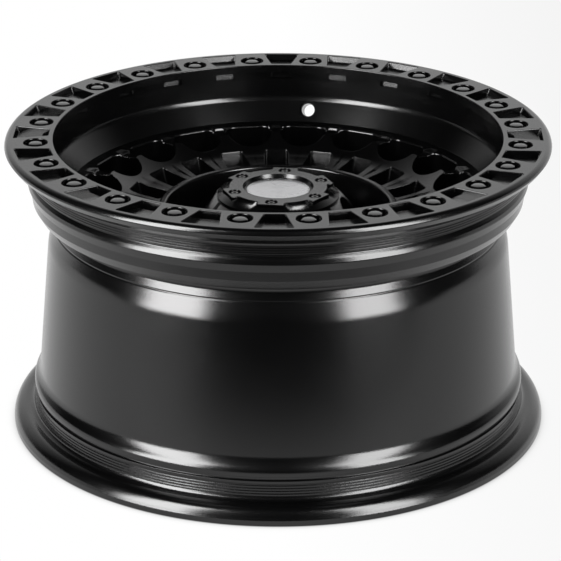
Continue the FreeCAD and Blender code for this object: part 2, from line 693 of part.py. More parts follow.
pieces = [make_casting(), make_bolts(), make_cap(), make_emblem(), make_screws()]
doc.recompute()
for item in doc.Objects:
    if "Invalid" in item.State or "Error" in item.State:
        raise RuntimeError(f"{item.Label} failed: {item.State}")
os.makedirs("parts", exist_ok=True)
for piece in pieces:
    if piece.Shape.isNull() or not piece.Shape.isValid():
        raise RuntimeError(f"{piece.Label} has no valid shape")
    piece.Shape.exportStep(f"parts/{piece.Label}.step")
    print(piece.Label, len(piece.Shape.Solids), "solids", round(piece.Shape.Volume / 1000, 1), "cm3")
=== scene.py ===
"""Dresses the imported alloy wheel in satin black: casting, bolts, cap, disc and screws, in a white studio."""
import logging
import math
from collections.abc import Callable, Sequence
from dataclasses import dataclass, field
from enum import Enum

import bpy
import numpy as np
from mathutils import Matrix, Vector
from mathutils.geometry import delaunay_2d_cdt


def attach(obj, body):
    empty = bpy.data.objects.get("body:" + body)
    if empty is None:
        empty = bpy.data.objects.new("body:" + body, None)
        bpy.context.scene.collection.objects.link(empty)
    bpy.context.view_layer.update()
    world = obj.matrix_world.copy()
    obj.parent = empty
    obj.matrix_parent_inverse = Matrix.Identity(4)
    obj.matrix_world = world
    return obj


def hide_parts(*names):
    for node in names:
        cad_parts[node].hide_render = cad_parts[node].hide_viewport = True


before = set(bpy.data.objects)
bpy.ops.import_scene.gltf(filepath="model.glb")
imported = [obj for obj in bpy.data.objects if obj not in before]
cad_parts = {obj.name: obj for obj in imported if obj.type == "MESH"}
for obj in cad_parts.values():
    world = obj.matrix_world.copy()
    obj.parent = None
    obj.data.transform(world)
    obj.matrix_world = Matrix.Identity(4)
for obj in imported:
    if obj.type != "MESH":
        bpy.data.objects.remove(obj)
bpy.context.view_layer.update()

MM = 0.001  # metres in a millimetre
TINY = 1e-12  # keeps a division from failing
SMALL = 1e-6  # millimetres or radians that count as none
SAME_PLACE = 1e-5  # millimetres within which a plate's points are one
LEAST_DROP = 0.1  # millimetres that a hole's wall is taken to fall at least
LAMP_POWER = 4.0  # watts to the square metre of a light at a radiance of 1
NEAR = 0.01  # millimetres or degrees that count as the same place
AT_AXIS = 0.01  # radius where a section ends at its axis, in millimetres
WELD, WELD_BIAS = 0.002, 0.137  # grid that points are welded on, in millimetres, and its offset
PLUS_Y = 90.0  # azimuth of the side where repeated shapes are drawn, in degrees
ROOM = 0.7  # millimetres that a free point keeps from the edges of its plate
GRID_STEP = 1.5  # degrees between two lines of a turned surface
ARC_STEP = 11.0  # largest turn between two points of a round, in degrees
FULL_GRID = np.arange(0.0, 360.0, GRID_STEP)
COARSE_GRID = np.arange(0.0, 360.0, 10.0)
QUARTER = [(math.cos(angle), math.sin(angle)) for angle in np.linspace(0.0, 1.0, 4) * math.pi / 2]
LEVEL = (1.0, 1.0, 0.0)
WHITE = (1.0, 1.0, 1.0, 1.0)

Array = np.ndarray
Corner = tuple[float, ...]
Lift = Callable[[Array], tuple[Array, Array]]
Lip = Callable[[Array], Array]
Move = Callable[[Array], Array]

logging.basicConfig(level=logging.INFO, format="%(name)s: %(message)s")
log = logging.getLogger("alloy_wheel")


def unit(vectors: Array) -> Array:
    """Vectors scaled to length one."""
    return vectors / np.maximum(np.linalg.norm(vectors, axis=-1, keepdims=True), TINY)


def spin(points: Array, degrees: float) -> Array:
    """Points or directions turned about the wheel's axis."""
    angle = math.radians(degrees)
    turned = points.copy()
    turned[..., 0] = points[..., 0] * math.cos(angle) - points[..., 1] * math.sin(angle)
    turned[..., 1] = points[..., 0] * math.sin(angle) + points[..., 1] * math.cos(angle)
    return turned


def polar(radius: float | Array, degrees: float | Array) -> Array:
    """Plan points at a radius and an azimuth."""
    angle = np.radians(degrees)
    return np.stack(np.broadcast_arrays(radius * np.cos(angle), radius * np.sin(angle)), axis=-1)


def quads(rows: int, columns: int, closed: bool) -> Array:
    """Faces of a grid of points.

    Args:
        rows: lines of points.
        columns: points in a line.
        closed: whether each line runs back to its first point.

    Returns:
        One row of four point numbers for each face.
    """
    row, column = np.meshgrid(
        np.arange(rows - 1), np.arange(columns if closed else columns - 1), indexing="ij"
    )
    ahead = (column + 1) % columns
    below = row * columns
    return np.stack(
        [below + column, below + ahead, below + columns + ahead, below + columns + column], axis=-1
    ).reshape(-1, 4)


def at(plan: Array, height: float | Array) -> Array:
    """Plan points with a height, or plan directions with a rise."""
    return np.column_stack([plan, np.broadcast_to(height, len(plan))])


def both_sides(right: list[Corner]) -> list[Corner]:
    """An outline from its corners on the right, and their mirror images."""
    return right + [(-x, *rest) for x, *rest in right[::-1]]


def sector(half: float) -> Array:
    """Azimuths on the grid, from half a sector before +Y to half a sector after it."""
    return np.arange(PLUS_Y - half, PLUS_Y + half + GRID_STEP / 2, GRID_STEP)


def heading(degrees: float) -> Vector:
    """The level direction at an azimuth."""
    return Vector((math.cos(math.radians(degrees)), math.sin(math.radians(degrees)), 0.0))


def fan(first: Array, turn: float, pieces: int) -> list[Array]:
    """Directions from a first one through a turn in radians, in equal pieces."""
    turns = [(math.cos(angle), math.sin(angle)) for angle in turn * np.linspace(0.0, 1.0, pieces + 1)]
    return [np.array([[cos, -sin], [sin, cos]]) @ first for cos, sin in turns]


def section(corners: Sequence[Corner], step: float = ARC_STEP) -> tuple[Array, Array]:
    """A section line with rounded corners.

    Args:
        corners: (radius, height) or (radius, height, round), with the solid on the left.
        step: largest turn between two points of a round, in degrees.

    Returns:
        Points and outward normals; a corner with no round gives two points with two normals.
    """
    places = np.array([corner[:2] for corner in corners], float)
    along = unit(np.diff(places, axis=0))
    across = np.stack([along[:, 1], -along[:, 0]], axis=-1)
    points, normals = [places[0]], [across[0]]
    for index in range(1, len(corners) - 1):
        before, after = along[index - 1], along[index]
        turn = math.atan2(before[0] * after[1] - before[1] * after[0], before @ after)
        radius = corners[index][2] if len(corners[index]) > 2 else 0.0
        if radius <= 0.0 or abs(turn) < SMALL:
            points += [places[index], places[index]]
            normals += [across[index - 1], across[index]]
            continue
        sign = math.copysign(1.0, turn)
        start = places[index] - before * radius * math.tan(abs(turn) / 2)
        centre = start - sign * radius * across[index - 1]
        for normal in fan(across[index - 1], turn, max(2, math.ceil(abs(math.degrees(turn)) / step))):
            points.append(centre + sign * radius * normal)
            normals.append(normal)
    points.append(places[-1])
    normals.append(across[-1])
    return np.array(points), np.array(normals)


def outline(
    corners: Sequence[Corner], grow: float = 0.0, step: float = 15.0, run: float = 4.0
) -> tuple[Array, Array]:
    """A closed outline in plan with rounded corners.

    Args:
        corners: (x, y) or (x, y, round), counter-clockwise.
        grow: how far the outline is moved outwards.
        step: largest turn between two points of a round, in degrees.
        run: largest distance between two points of a side.

    Returns:
        Points and outward normals, the same number for every grow.
    """
    places = np.array([corner[:2] for corner in corners], float)
    count = len(places)
    along = unit(np.roll(places, -1, axis=0) - places)
    across = np.stack([along[:, 1], -along[:, 0]], axis=-1)
    points, normals, tangents = [], [], []
    for index in range(count):
        before, after = across[index - 1], across[index]
        radius = corners[index][2] if len(corners[index]) > 2 else 0.0
        turn = math.atan2(before[0] * after[1] - before[1] * after[0], before @ after)
        middle = unit(before + after)
        bend = math.copysign(radius, turn)
        centre = places[index] - middle * bend / math.cos(turn / 2)
        reach = radius * abs(math.tan(turn / 2))
        steps = max(1, math.ceil(math.degrees(abs(turn)) / step)) if radius > 0.0 else 0
        arc_normals = fan(before, turn, steps) if steps else [middle]
        arc_points = [centre + (bend + grow) * normal for normal in arc_normals]
        if not steps:
            arc_points = [places[index] + middle * grow / math.cos(turn / 2)]
        tangents.append((arc_points, arc_normals, reach))
    for index in range(count):
        arc_points, arc_normals, reach = tangents[index]
        points += arc_points
        normals += arc_normals
        ahead = tangents[(index + 1) % count]
        length = np.linalg.norm(places[(index + 1) % count] - places[index]) - reach - ahead[2]
        pieces = max(1, math.ceil(length / run))
        for share in np.arange(1, pieces) / pieces:
            points.append(arc_points[-1] * (1 - share) + ahead[0][0] * share)
            normals.append(across[index])
    return np.array(points), np.array(normals)


def inside(points: Array, loop: Array) -> Array:
    """Which plan points lie inside a closed loop."""
    x, y = points[:, :1], points[:, 1:2]
    ends = np.roll(loop, -1, axis=0)
    crosses = (loop[:, 1] > y) != (ends[:, 1] > y)
    rise = np.where(ends[:, 1] == loop[:, 1], TINY, ends[:, 1] - loop[:, 1])
    reach = loop[:, 0] + (y - loop[:, 1]) * (ends[:, 0] - loop[:, 0]) / rise
    return (crosses & (x < reach)).sum(axis=1) % 2 == 1


def clear_of(points: Array, loops: Sequence[Array], room: float) -> Array:
    """Which plan points keep a distance from every side of some loops."""
    keep = np.ones(len(points), bool)
    for loop in loops:
        ends = np.roll(loop, -1, axis=0)
        side = ends - loop
        share = ((points[:, None] - loop) * side).sum(-1) / np.maximum((side * side).sum(-1), TINY)
        nearest = loop + np.clip(share, 0.0, 1.0)[..., None] * side
        keep &= np.linalg.norm(points[:, None] - nearest, axis=-1).min(axis=1) > room
    return keep


@dataclass
class Relief:
    """A turned surface seen from above, as heights and normals over the radius."""

    corners: Sequence[Corner]
    step: float = 6.0
    radii: Array = field(init=False)
    heights: Array = field(init=False)
    normals: Array = field(init=False)

    def __post_init__(self) -> None:
        """Lays the section out over a rising radius."""
        points, normals = section(self.corners, self.step)
        order = np.argsort(points[:, 0], kind="stable")
        self.radii, self.heights, self.normals = points[order, 0], points[order, 1], normals[order]

    def __call__(self, plan: Array) -> tuple[Array, Array]:
        """Plan points lifted onto the surface.

        Args:
            plan: (x, y) rows.

        Returns:
            Points and normals in space.
        """
        radius = np.linalg.norm(plan, axis=-1)
        height, lean, rise = (
            np.interp(radius, self.radii, values) for values in (self.heights, *self.normals.T)
        )
        outwards = plan / np.maximum(radius, TINY)[:, None]
        return at(plan, height), unit(at(outwards * lean[:, None], rise))

    def arcs(self, gap: float, span: tuple[float, float], spacing: float) -> Array:
        """Plan points in rows over the surface, where its section bends.

        Args:
            gap: smallest distance between two rows.
            span: first and last azimuth, in degrees.
            spacing: distance between two points of a row.

        Returns:
            (x, y) rows.
        """
        lines = []
        for radius in self.rows(gap):
            pieces = max(2, math.ceil(math.radians(span[1] - span[0]) * radius / spacing))
            lines.append(polar(radius, np.linspace(span[0], span[1], pieces + 1)[1:-1]))
        return np.concatenate(lines)

    def rows(self, gap: float) -> Array:
        """Radii where the section bends, at least a gap apart."""
        kept = [self.radii[0]]
        for radius in self.radii[1:]:
            if radius - kept[-1] >= gap:
                kept.append(radius)
        return np.array(kept)


def level(height: float, up: float = 1.0) -> Lift:
    """A lift onto a flat surface at a height, facing up or down."""

    def lift(plan: Array) -> tuple[Array, Array]:
        """Plan points at that height, with its normal."""
        return at(plan, height), np.tile([0.0, 0.0, up], (len(plan), 1))

    return lift


def even(size: float) -> Lip:
    """A lip with the same round at every point."""
    return lambda plan: np.full(len(plan), size)


def rounded_edge(
    corners: Sequence[Corner], wall: Array, top: float, size: float
) -> tuple[list[Array], list[Array]]:
    """Loops over the rounded edge between a top face and a wall.

    Args:
        corners: outline of the wall in plan.
        wall: a normal of the wall for each point of the outline.
        top: height of the top face.
        size: round of the edge, negative where the face lies inside the outline.

    Returns:
        Points and normals of the loops, from the face to the wall.
    """
    loops, normals = [], []
    for cos, sin in QUARTER:
        points, up = level(top - abs(size) * (1 - cos))(outline(corners, size * (1 - sin))[0])
        loops.append(points)
        normals.append(unit(up * cos + wall * sin))
    return loops, normals


def bored(corners: Sequence[Corner], ring: Array, middle: Array) -> tuple[list[Array], list[Array]]:
    """Loops of a section turned about an upright axis of its own.

    Args:
        corners: the section.
        ring: directions in plan round its axis.
        middle: its axis in plan.

    Returns:
        Points and normals of the loops, in the section's order.
    """
    line, directions = section(corners)
    return (
        [at(middle + ring * radius, height) for radius, height in line],
        [at(ring * lean, rise) for lean, rise in directions],
    )


@dataclass
class Shell:
    """A surface gathered patch by patch in millimetres, with a normal at every point."""

    points: list[Array] = field(default_factory=list)
    normals: list[Array] = field(default_factory=list)
    faces: list[Array] = field(default_factory=list)
    count: int = 0

    def add(self, points: Array, normals: Array, faces: Array, copies: int = 1, turn: float = 0.0) -> None:
        """Adds a patch, and copies of it evenly round the axis.

        Args:
            points: places in space.
            normals: a direction for each place.
            faces: four point numbers a row; a triangle repeats its last one.
            copies: how many in all.
            turn: azimuth of the first, in degrees.
        """
        for index in range(copies):
            angle = turn + 360.0 / copies * index
            self.points.append(spin(points, angle))
            self.normals.append(spin(normals, angle))
            self.faces.append(faces + self.count)
            self.count += len(points)

    def joined(self) -> tuple[Array, ...]:
        """All the points, normals and faces."""
        return tuple(np.concatenate(item) for item in (self.points, self.normals, self.faces))

    def turned(
        self, corners: Sequence[Corner], azimuths: Array = FULL_GRID, closed: bool = True
    ) -> None:
        """Adds a section turned about the wheel's axis.

        Args:
            corners: the section.
            azimuths: where its lines stand, in degrees.
            closed: whether it runs all the way round.
        """
        around = polar(1.0, azimuths)
        points, normals = (
            np.concatenate([at(around * across, along) for across, along in line])
            for line in section(corners)
        )
        self.add(points, normals, quads(len(points) // len(around), len(around), closed))

    def loft(
        self, loops: Sequence[Array], normals: Sequence[Array], copies: int = 1, turn: float = 0.0
    ) -> None:
        """Adds closed loops of equal length joined in order."""
        faces = quads(len(loops), len(loops[0]), True)
        self.add(np.concatenate(loops), np.concatenate(normals), faces, copies, turn)

    def plate(
        self, boundary: Array, holes: Sequence[Array], lift: Lift,
        free: Array | None = None, copies: int = 1, turn: float = 0.0,
    ) -> None:
        """Adds the surface between a boundary and some holes.

        Args:
            boundary: the outer loop in plan.
            holes: loops in plan that stay open.
            lift: gives points and normals in space for points in plan.
            free: more points in plan, used where they are clear of the loops.
            copies: how many in all.
            turn: azimuth of the first, in degrees.
        """
        def open_at(places: Array) -> Array:
            """Which plan points lie inside the boundary and in none of the holes."""
            clear = inside(places, boundary)
            for hole in holes:
                clear &= ~inside(places, hole)
            return clear

        loops = [boundary, *holes]
        plan, edges, start = np.concatenate(loops), [], 0
        for loop in loops:
            numbers = np.arange(len(loop))
            edges.append(np.stack([numbers, (numbers + 1) % len(loop)], axis=-1) + start)
            start += len(loop)
        if free is not None:
            plan = np.concatenate([plan, free[open_at(free) & clear_of(free, loops, ROOM)]])
        result = delaunay_2d_cdt(
            [Vector(place) for place in plan], np.concatenate(edges).tolist(), [], 0, SAME_PLACE, True
        )
        places = np.array([
            plan[origin[0]] if origin else vertex[:] for vertex, origin in zip(result[0], result[3])
        ])
        triangles = np.array(result[2])
        triangles = triangles[open_at(places[triangles].mean(axis=1))]
        points, normals = lift(places)
        self.add(points, normals, np.concatenate([triangles, triangles[:, 2:]], axis=1), copies, turn)

    def hole(
        self, corners: Sequence[Corner], lift: Lift, end: Lift, lip: Lip,
        copies: int = 1, turn: float = 0.0, end_lip: float = 0.0, foot: Move | None = None,
        **spacing: float,
    ) -> None:
        """Adds the wall of a hole, from a rounded lip on one surface down to another.

        Args:
            corners: the hole's outline in plan.
            lift: the surface that it starts from.
            end: the surface where it ends.
            lip: round at its start, for each point of the outline.
            copies: how many in all.
            turn: azimuth of the first, in degrees.
            end_lip: round at its end.
            foot: moves the outline to where the wall ends.
            spacing: step and run of the outline.
        """
        edge, sideways = outline(corners, **spacing)
        low = foot(edge) if foot else edge
        top, bottom = lift(edge)[0], end(low)[0]
        drop = np.maximum(top[:, 2] - bottom[:, 2], LEAST_DROP)
        wall = unit(at(-sideways, ((top - bottom)[:, :2] * sideways).sum(axis=1) / drop))
        loops, directions = [], []
        for surface, sizes, sign in ((lift, lip(edge), -1.0), (end, np.full(len(edge), end_lip), 1.0)):
            rounds = []
            for cos, sin in QUARTER if sizes.max() > 0.0 else QUARTER[-1:]:
                plan = edge + sideways * (sizes * (1 - sin))[:, None]
                points, normals = surface(foot(plan) if foot and sign > 0 else plan)
                points[:, 2] += sign * sizes * (1 - cos)
                rounds.append((points, unit(normals * cos + wall * sin)))
            for points, normals in rounds[::-1] if sign > 0 else rounds:
                loops.append(points)
                directions.append(normals)
        self.loft(loops, directions, copies, turn)

    def take(self, other: "Shell", offset: tuple[float, float, float], copies: int) -> None:
        """Adds copies of another shell, moved off the axis and spread evenly round it."""
        points, normals, faces = other.joined()
        self.add(points + offset, normals, faces, copies)

    def edge_wall(self, corners: Sequence[Corner], top: float, foot: Lift, edge: float) -> None:
        """Adds the wall under a top face, from a rounded edge down to another surface.

        Args:
            corners: outline of the wall in plan.
            top: height of the top face.
            foot: the surface where the wall ends.
            edge: round along the top face.
        """
        wall_plan, sideways = outline(corners)
        wall = at(sideways, 0.0)
        loops, normals = rounded_edge(corners, wall, top, -edge)
        self.loft([*loops, foot(wall_plan)[0]], [*normals, wall])

    def build(self, name: str) -> bpy.types.Object:
        """Welds the patches into one mesh that keeps their normals.

        Args:
            name: the object's name.

        Returns:
            A new object in the scene, in metres.
        """
        points, normals, faces = self.joined()
        keys = np.floor(points / WELD + WELD_BIAS).astype(np.int64)
        _, first, weld = np.unique(keys, axis=0, return_index=True, return_inverse=True)
        weld = weld.reshape(-1)
        corner = points[faces]
        flat = np.cross(corner[:, 2] - corner[:, 0], corner[:, 3] - corner[:, 1])
        backwards = (flat * normals[faces].sum(axis=1)).sum(axis=1) < 0
        faces[backwards] = faces[backwards][:, ::-1]
        loops, directions = [], []
        for face in faces:
            kept: list[int] = []
            for number in face:
                if all(weld[number] != weld[other] for other in kept):
                    kept.append(number)
            if len(kept) > 2:
                loops.append([int(weld[number]) for number in kept])
                directions += [normals[number] for number in kept]
        mesh = bpy.data.meshes.new(name)
        mesh.from_pydata((points[first] * MM).tolist(), [], loops)
        mesh.polygons.foreach_set("use_smooth", [True] * len(mesh.polygons))
        mesh.normals_split_custom_set([tuple(direction) for direction in directions])
        mesh.update()
        piece = bpy.data.objects.new(name, mesh)
        bpy.context.scene.collection.objects.link(piece)
        log.info("%s: %d triangles", name, sum(len(loop) - 2 for loop in loops))
        return piece


@dataclass
class Casting:
    """The wheel's one casting: rim, ring, spoke web and hub. Sizes are in millimetres."""

    ring_face: float = 261.0
    lip_radius: float = 236.8
    lip_round: float = 4.7
    ring_inner: float = 195.0
    ring_edge: float = 253.5
    undercut: float = 200.3
    undercut_foot: float = 245.2
    edge_round: float = 0.7
    bolt_count: int = 24
    bolt_circle: float = 210.0
    recess_radius: float = 10.5
    recess_floor: float = 255.0
    bolt_hole: float = 3.1
    bolt_hole_depth: float = 15.0
    pocket_inner: float = 199.0
    pocket_outer: float = 229.0
    pocket_inner_half: float = 8.8
    pocket_outer_half: float = 16.0
    pocket_round: float = 1.2
    pocket_inner_round: float = 0.8
    outer_lean: float = 2.0
    shelf_edge: float = 205.4
    step_lean: float = 1.7
    shelf_floor: float = 256.0
    well_floor: float = 246.4
    slot_points: int = 5
    hole_points: int = 48
    spoke_count: int = 20
    ledge: float = 208.9
    wall_foot: float = 185.0
    band_shares: tuple[float, float] = (0.06, 0.865)
    strip_share: float = 0.06
    groove_count: int = 4
    groove_half: float = 0.55
    groove_depth: float = 0.5
    groove_round: float = 0.15
    wall_bend: Corner = (199.8, 227.2, 9.0)
    web_back: float = 189.5
    web_outer: float = 183.2
    web_inner: float = 105.6
    web_low: float = 192.0
    back_outer: float = 182.5
    back_inner: Corner = (105.0, 155.07)
    row_gap: float = 1.0
    point_gap: float = 3.0
    hole_inner: float = 140.0
    hole_outer: float = 173.6
    hole_half: float = 21.73
    hole_inner_round: float = 20.5
    hole_outer_round: float = 11.0
    hole_middle: float = 157.0
    window_inner: float = 106.5
    window_outer: float = 135.0
    window_half: float = 11.0
    window_round: float = 3.0
    window_lean: float = 6.0
    web_lip: float = 0.5
    far_lip: float = 1.8
    far_lip_start: float = 165.0
    lug_count: int = 6
    lug_circle: float = 69.85
    lug_pocket: float = 15.0
    lug_floor: float = 133.95
    lug_seat: float = 12.0
    lug_seat_foot: float = 129.7
    lug_hole: float = 7.75
    pad: float = 117.7
    pad_radius: float = 84.0
    pad_round: float = 0.5
    bore: float = 53.1
    bore_round: float = 0.8
    bore_top: float = 133.7
    bowl_rim: float = 105.0
    bowl_rim_top: float = 195.5
    bowl_floor: float = 151.7
    boss_foot: float = 87.0
    boss_top: float = 203.5
    boss_edge: float = 53.0
    valve_azimuth: float = 90.0
    valve_place: tuple[float, float] = (192.81, 218.55)
    valve_back: tuple[Corner, ...] = ((210.2, 202.0), (214.0, 208.6), (215.3, 217.0))
    valve_tilt: float = 22.0
    valve_radius: float = 6.0
    valve_seat_radius: float = 8.0
    valve_seat_depth: float = 3.2
    valve_span: float = 6.0
    valve_points: int = 40
    meet_steps: int = 60
    shell: Shell = field(init=False)
    slot_y: float = field(init=False)
    slot_azimuth: float = field(init=False)
    slot_end: Array = field(init=False)
    wall_low: Corner = field(init=False)
    wall_top: Corner = field(init=False)

    def build(self) -> list[bpy.types.Object]:
        """Builds the casting's ring, its rim, and its web with the hub.

        Returns:
            The pieces that stand in place of its CAD node.
        """
        pieces = []
        for name, steps in (
            ("wheel_ring_dressed", (self.build_ring, self.build_undercut, self.build_valve)),
            ("wheel_rim_dressed", (self.build_rim,)),
            ("wheel_web_dressed", (self.build_web, self.build_hub)),
        ):
            self.shell = Shell()
            for step in steps:
                step()
            piece = self.shell.build(name)
            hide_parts("wheel_casting")
            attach(piece, "root")
            pieces.append(piece)
        return pieces

    def seat_grooves(self, first: float, pitch: float, start: Corner, end: Corner) -> list[Corner]:
        """Fine turned grooves along a bead seat.

        Args:
            first: height of the first groove.
            pitch: distance between two grooves.
            start: radius and height where the seat begins.
            end: radius and height where it ends.

        Returns:
            Corners of the seat's section, from the first groove up.
        """
        slope = (end[0] - start[0]) / (end[1] - start[1])
        corners: list[Corner] = []
        for index in range(self.groove_count):
            for aside in (-self.groove_half, 0.0, self.groove_half):
                height = first + pitch * index + aside
                radius = start[0] + slope * (height - start[1])
                corners.append((radius if aside else radius - self.groove_depth, height, self.groove_round))
        return corners

    def build_rim(self) -> None:
        """The rim from the web's back down the inside, round the foot and up the outside to the lip."""
        low_seat, high_seat = ((218.3, 15.4), (217.1, 29.2)), ((217.1, 233.0), (218.3, 244.0))
        inside_line = [
            (self.back_outer, self.web_back), (self.wall_foot, self.web_back, 2.0), (195.2, 170.0, 25.0),
            (205.9, 48.5, 40.0), (205.9, 12.0, 5.0), (224.8, 0.0, 1.2), (self.lip_radius, 0.0, 1.5),
            (self.lip_radius, 5.0, 5.0), (233.6, 15.4, 11.0), (*low_seat[0], 4.5),
        ]
        hump_line = [
            (*low_seat[1], 0.2), (217.6, 29.7, 0.2), (217.6, 32.1, 0.2), (215.6, 32.6, 0.2),
            (215.6, 35.2, 0.2), (217.6, 35.7, 0.3), (217.6, 41.0, 8.0), (212.5, 47.5, 16.0),
        ]
        ramp_line = [
            (201.4, 170.0, 40.0), (196.74, 182.4, 0.4), (195.87, 183.5, 0.6), (195.91, 184.6, 0.4),
            (192.0, 195.0, 6.0), (209.3, 200.5, 0.8), self.valve_back[0],
        ]
        hump_above = [
            self.valve_back[-1], (217.9, 224.3, 2.5), (217.0, 228.0, 5.0),
            (214.6, 231.2, 0.8), (217.1, 233.2, 0.4),
        ]
        flange_line = [
            (*high_seat[1], 5.0), (227.0, 246.5, 3.0), (233.6, 251.6, 2.5), (self.lip_radius, 256.2, 2.0),
            (self.lip_radius, self.ring_face, self.lip_round),
            (self.lip_radius - self.lip_round, self.ring_face),
        ]
        seat_below = self.seat_grooves(20.8, 2.4, *low_seat)
        seat_above = self.seat_grooves(234.7, 2.15, *high_seat)
        self.shell.turned(inside_line + seat_below + hump_line + ramp_line)
        self.shell.turned(hump_above + seat_above + flange_line)

    def build_ring(self) -> None:
        """The ring's face, bolt recesses and pockets."""
        half = 180.0 / self.bolt_count
        lip = self.edge_round
        azimuths = sector(half)
        angle = np.linspace(0.0, 2 * math.pi, self.hole_points, endpoint=False)
        ring, middle = np.stack([np.sin(angle), np.cos(angle)], axis=-1), np.array([0.0, self.bolt_circle])
        mouth = middle + ring * (self.recess_radius + lip)
        inmost = self.hole_points // 2
        left = spin(mouth[:inmost + 1], half)
        right = spin(mouth[[0, *range(self.hole_points - 1, inmost - 1, -1)]], -half)
        boundary = np.concatenate([
            polar(self.lip_radius - self.lip_round, azimuths), left,
            polar(self.ring_inner + lip, azimuths[::-1]), right[::-1],
        ])
        pocket, _ = outline(self.pocket_corners(), lip)
        self.shell.plate(boundary, [pocket], level(self.ring_face), copies=self.bolt_count, turn=half)
        self.shell.turned([
            (self.ring_inner + lip, self.ring_face), (self.ring_inner, self.ring_face, lip),
            (self.ring_inner, self.ring_edge, lip / 2), (self.ring_inner + lip / 2, self.ring_edge),
        ])
        floor, end = self.recess_floor, self.recess_floor - self.bolt_hole_depth
        recess = bored([
            (self.recess_radius + lip, self.ring_face), (self.recess_radius, self.ring_face, lip),
            (self.recess_radius, floor, 0.4), (self.bolt_hole, floor), (self.bolt_hole, end), (AT_AXIS, end),
        ], ring, middle)
        self.shell.loft(*recess, self.bolt_count)
        self.build_pockets(half)

    def pocket_side(self, y: float) -> float:
        """Half width of a ring pocket at a distance from the axis."""
        share = (y - self.pocket_inner) / (self.pocket_outer - self.pocket_inner)
        return self.pocket_inner_half + share * (self.pocket_outer_half - self.pocket_inner_half)

    def pocket_corners(self) -> list[Corner]:
        """The outline of a ring pocket on the +Y side, with the places where its depth changes."""
        self.slot_y = math.sqrt(self.undercut ** 2 - self.pocket_side(self.pocket_inner + 1.0) ** 2)
        right = [
            (self.pocket_inner_half, self.pocket_inner, self.pocket_inner_round),
            (self.pocket_side(self.slot_y), self.slot_y),
            (self.pocket_side(self.shelf_edge), self.shelf_edge),
            (self.pocket_outer_half, self.pocket_outer, self.pocket_round),
        ]
        return both_sides(right)

    def pocket_plan(self, plan: Array, height: float) -> Array:
        """A pocket's outline further down, where its outer wall and its step have come in.

        Args:
            plan: points of the outline at the ring's face.
            height: where they are wanted.

        Returns:
            The same points at that height, in plan.
        """
        outer = min((self.ring_face - height) / (self.ring_face - self.shelf_floor), 1.0)
        step = max((self.shelf_floor - height) / (self.shelf_floor - self.well_floor), 0.0)
        y = np.interp(
            plan[:, 1], [self.pocket_inner, self.slot_y, self.shelf_edge, self.pocket_outer],
            [self.pocket_inner, self.slot_y, self.shelf_edge - self.step_lean * step,
             self.pocket_outer - self.outer_lean * outer],
        )
        return np.stack([plan[:, 0] * self.pocket_side(y) / self.pocket_side(plan[:, 1]), y], axis=-1)

    def build_pockets(self, half: float) -> None:
        """The stepped pockets between the bolts, which break through into the undercut."""
        corners = self.pocket_corners()
        slot_y, shelf_y = self.slot_y, self.shelf_edge
        wall_plan, sideways = outline(corners)
        lean = np.maximum(sideways[:, 1], 0.0) * self.outer_lean / (self.ring_face - self.shelf_floor)
        wall = unit(at(-sideways, lean))
        loops, normals = rounded_edge(corners, wall, self.ring_face, self.edge_round)
        heights = (self.shelf_floor, self.ring_edge, self.well_floor)
        for height in heights:
            loops.append(level(height)(self.pocket_plan(wall_plan, height))[0])
            normals.append(wall)
        count = len(wall_plan)
        faces = quads(len(loops), count, True)
        middle = (wall_plan[:, 1] + np.roll(wall_plan, -1, axis=0)[:, 1]) / 2
        side = middle[faces[:, 0] % count]
        row = faces[:, 0] // count
        keep = (row < 4) | ((row == 4) & (side < shelf_y)) | ((row == 5) & (side < shelf_y) & (side > slot_y))
        copies, turn = self.bolt_count, half
        self.shell.add(np.concatenate(loops), np.concatenate(normals), faces[keep], copies, turn)
        shelf = self.pocket_plan(wall_plan, self.shelf_floor)[wall_plan[:, 1] > shelf_y - NEAR]
        self.shell.plate(shelf, [], level(self.shelf_floor), copies=copies, turn=turn)
        in_well = (wall_plan[:, 1] < shelf_y + NEAR) & (wall_plan[:, 1] > slot_y - NEAR)
        deep = self.pocket_plan(wall_plan, self.well_floor)[in_well]
        deep = deep[np.lexsort((deep[:, 1] * np.sign(deep[:, 0]), -np.sign(deep[:, 0])))]
        self.slot_azimuth = math.degrees(math.atan2(corners[1][0], slot_y))
        slot_azimuths = PLUS_Y + np.linspace(self.slot_azimuth, -self.slot_azimuth, self.slot_points)
        slot = polar(self.undercut, slot_azimuths[1:-1])
        self.shell.plate(np.concatenate([deep, slot]), [], level(self.well_floor), copies=copies, turn=turn)
        corner = np.array([[self.pocket_side(shelf_y), shelf_y]])
        ends = np.concatenate([level(height)(self.pocket_plan(corner, height))[0] for height in heights])
        across = np.concatenate([ends, ends * [-1.0, 1.0, 1.0]])
        facing = unit(np.array([0.0, self.well_floor - self.shelf_floor, self.step_lean]))
        self.shell.add(
            across, np.tile(facing, (6, 1)), np.array([[0, 1, 4, 3], [1, 2, 5, 4]]), copies, turn
        )
        self.slot_end = wall_plan[wall_plan[:, 1] < slot_y + NEAR]

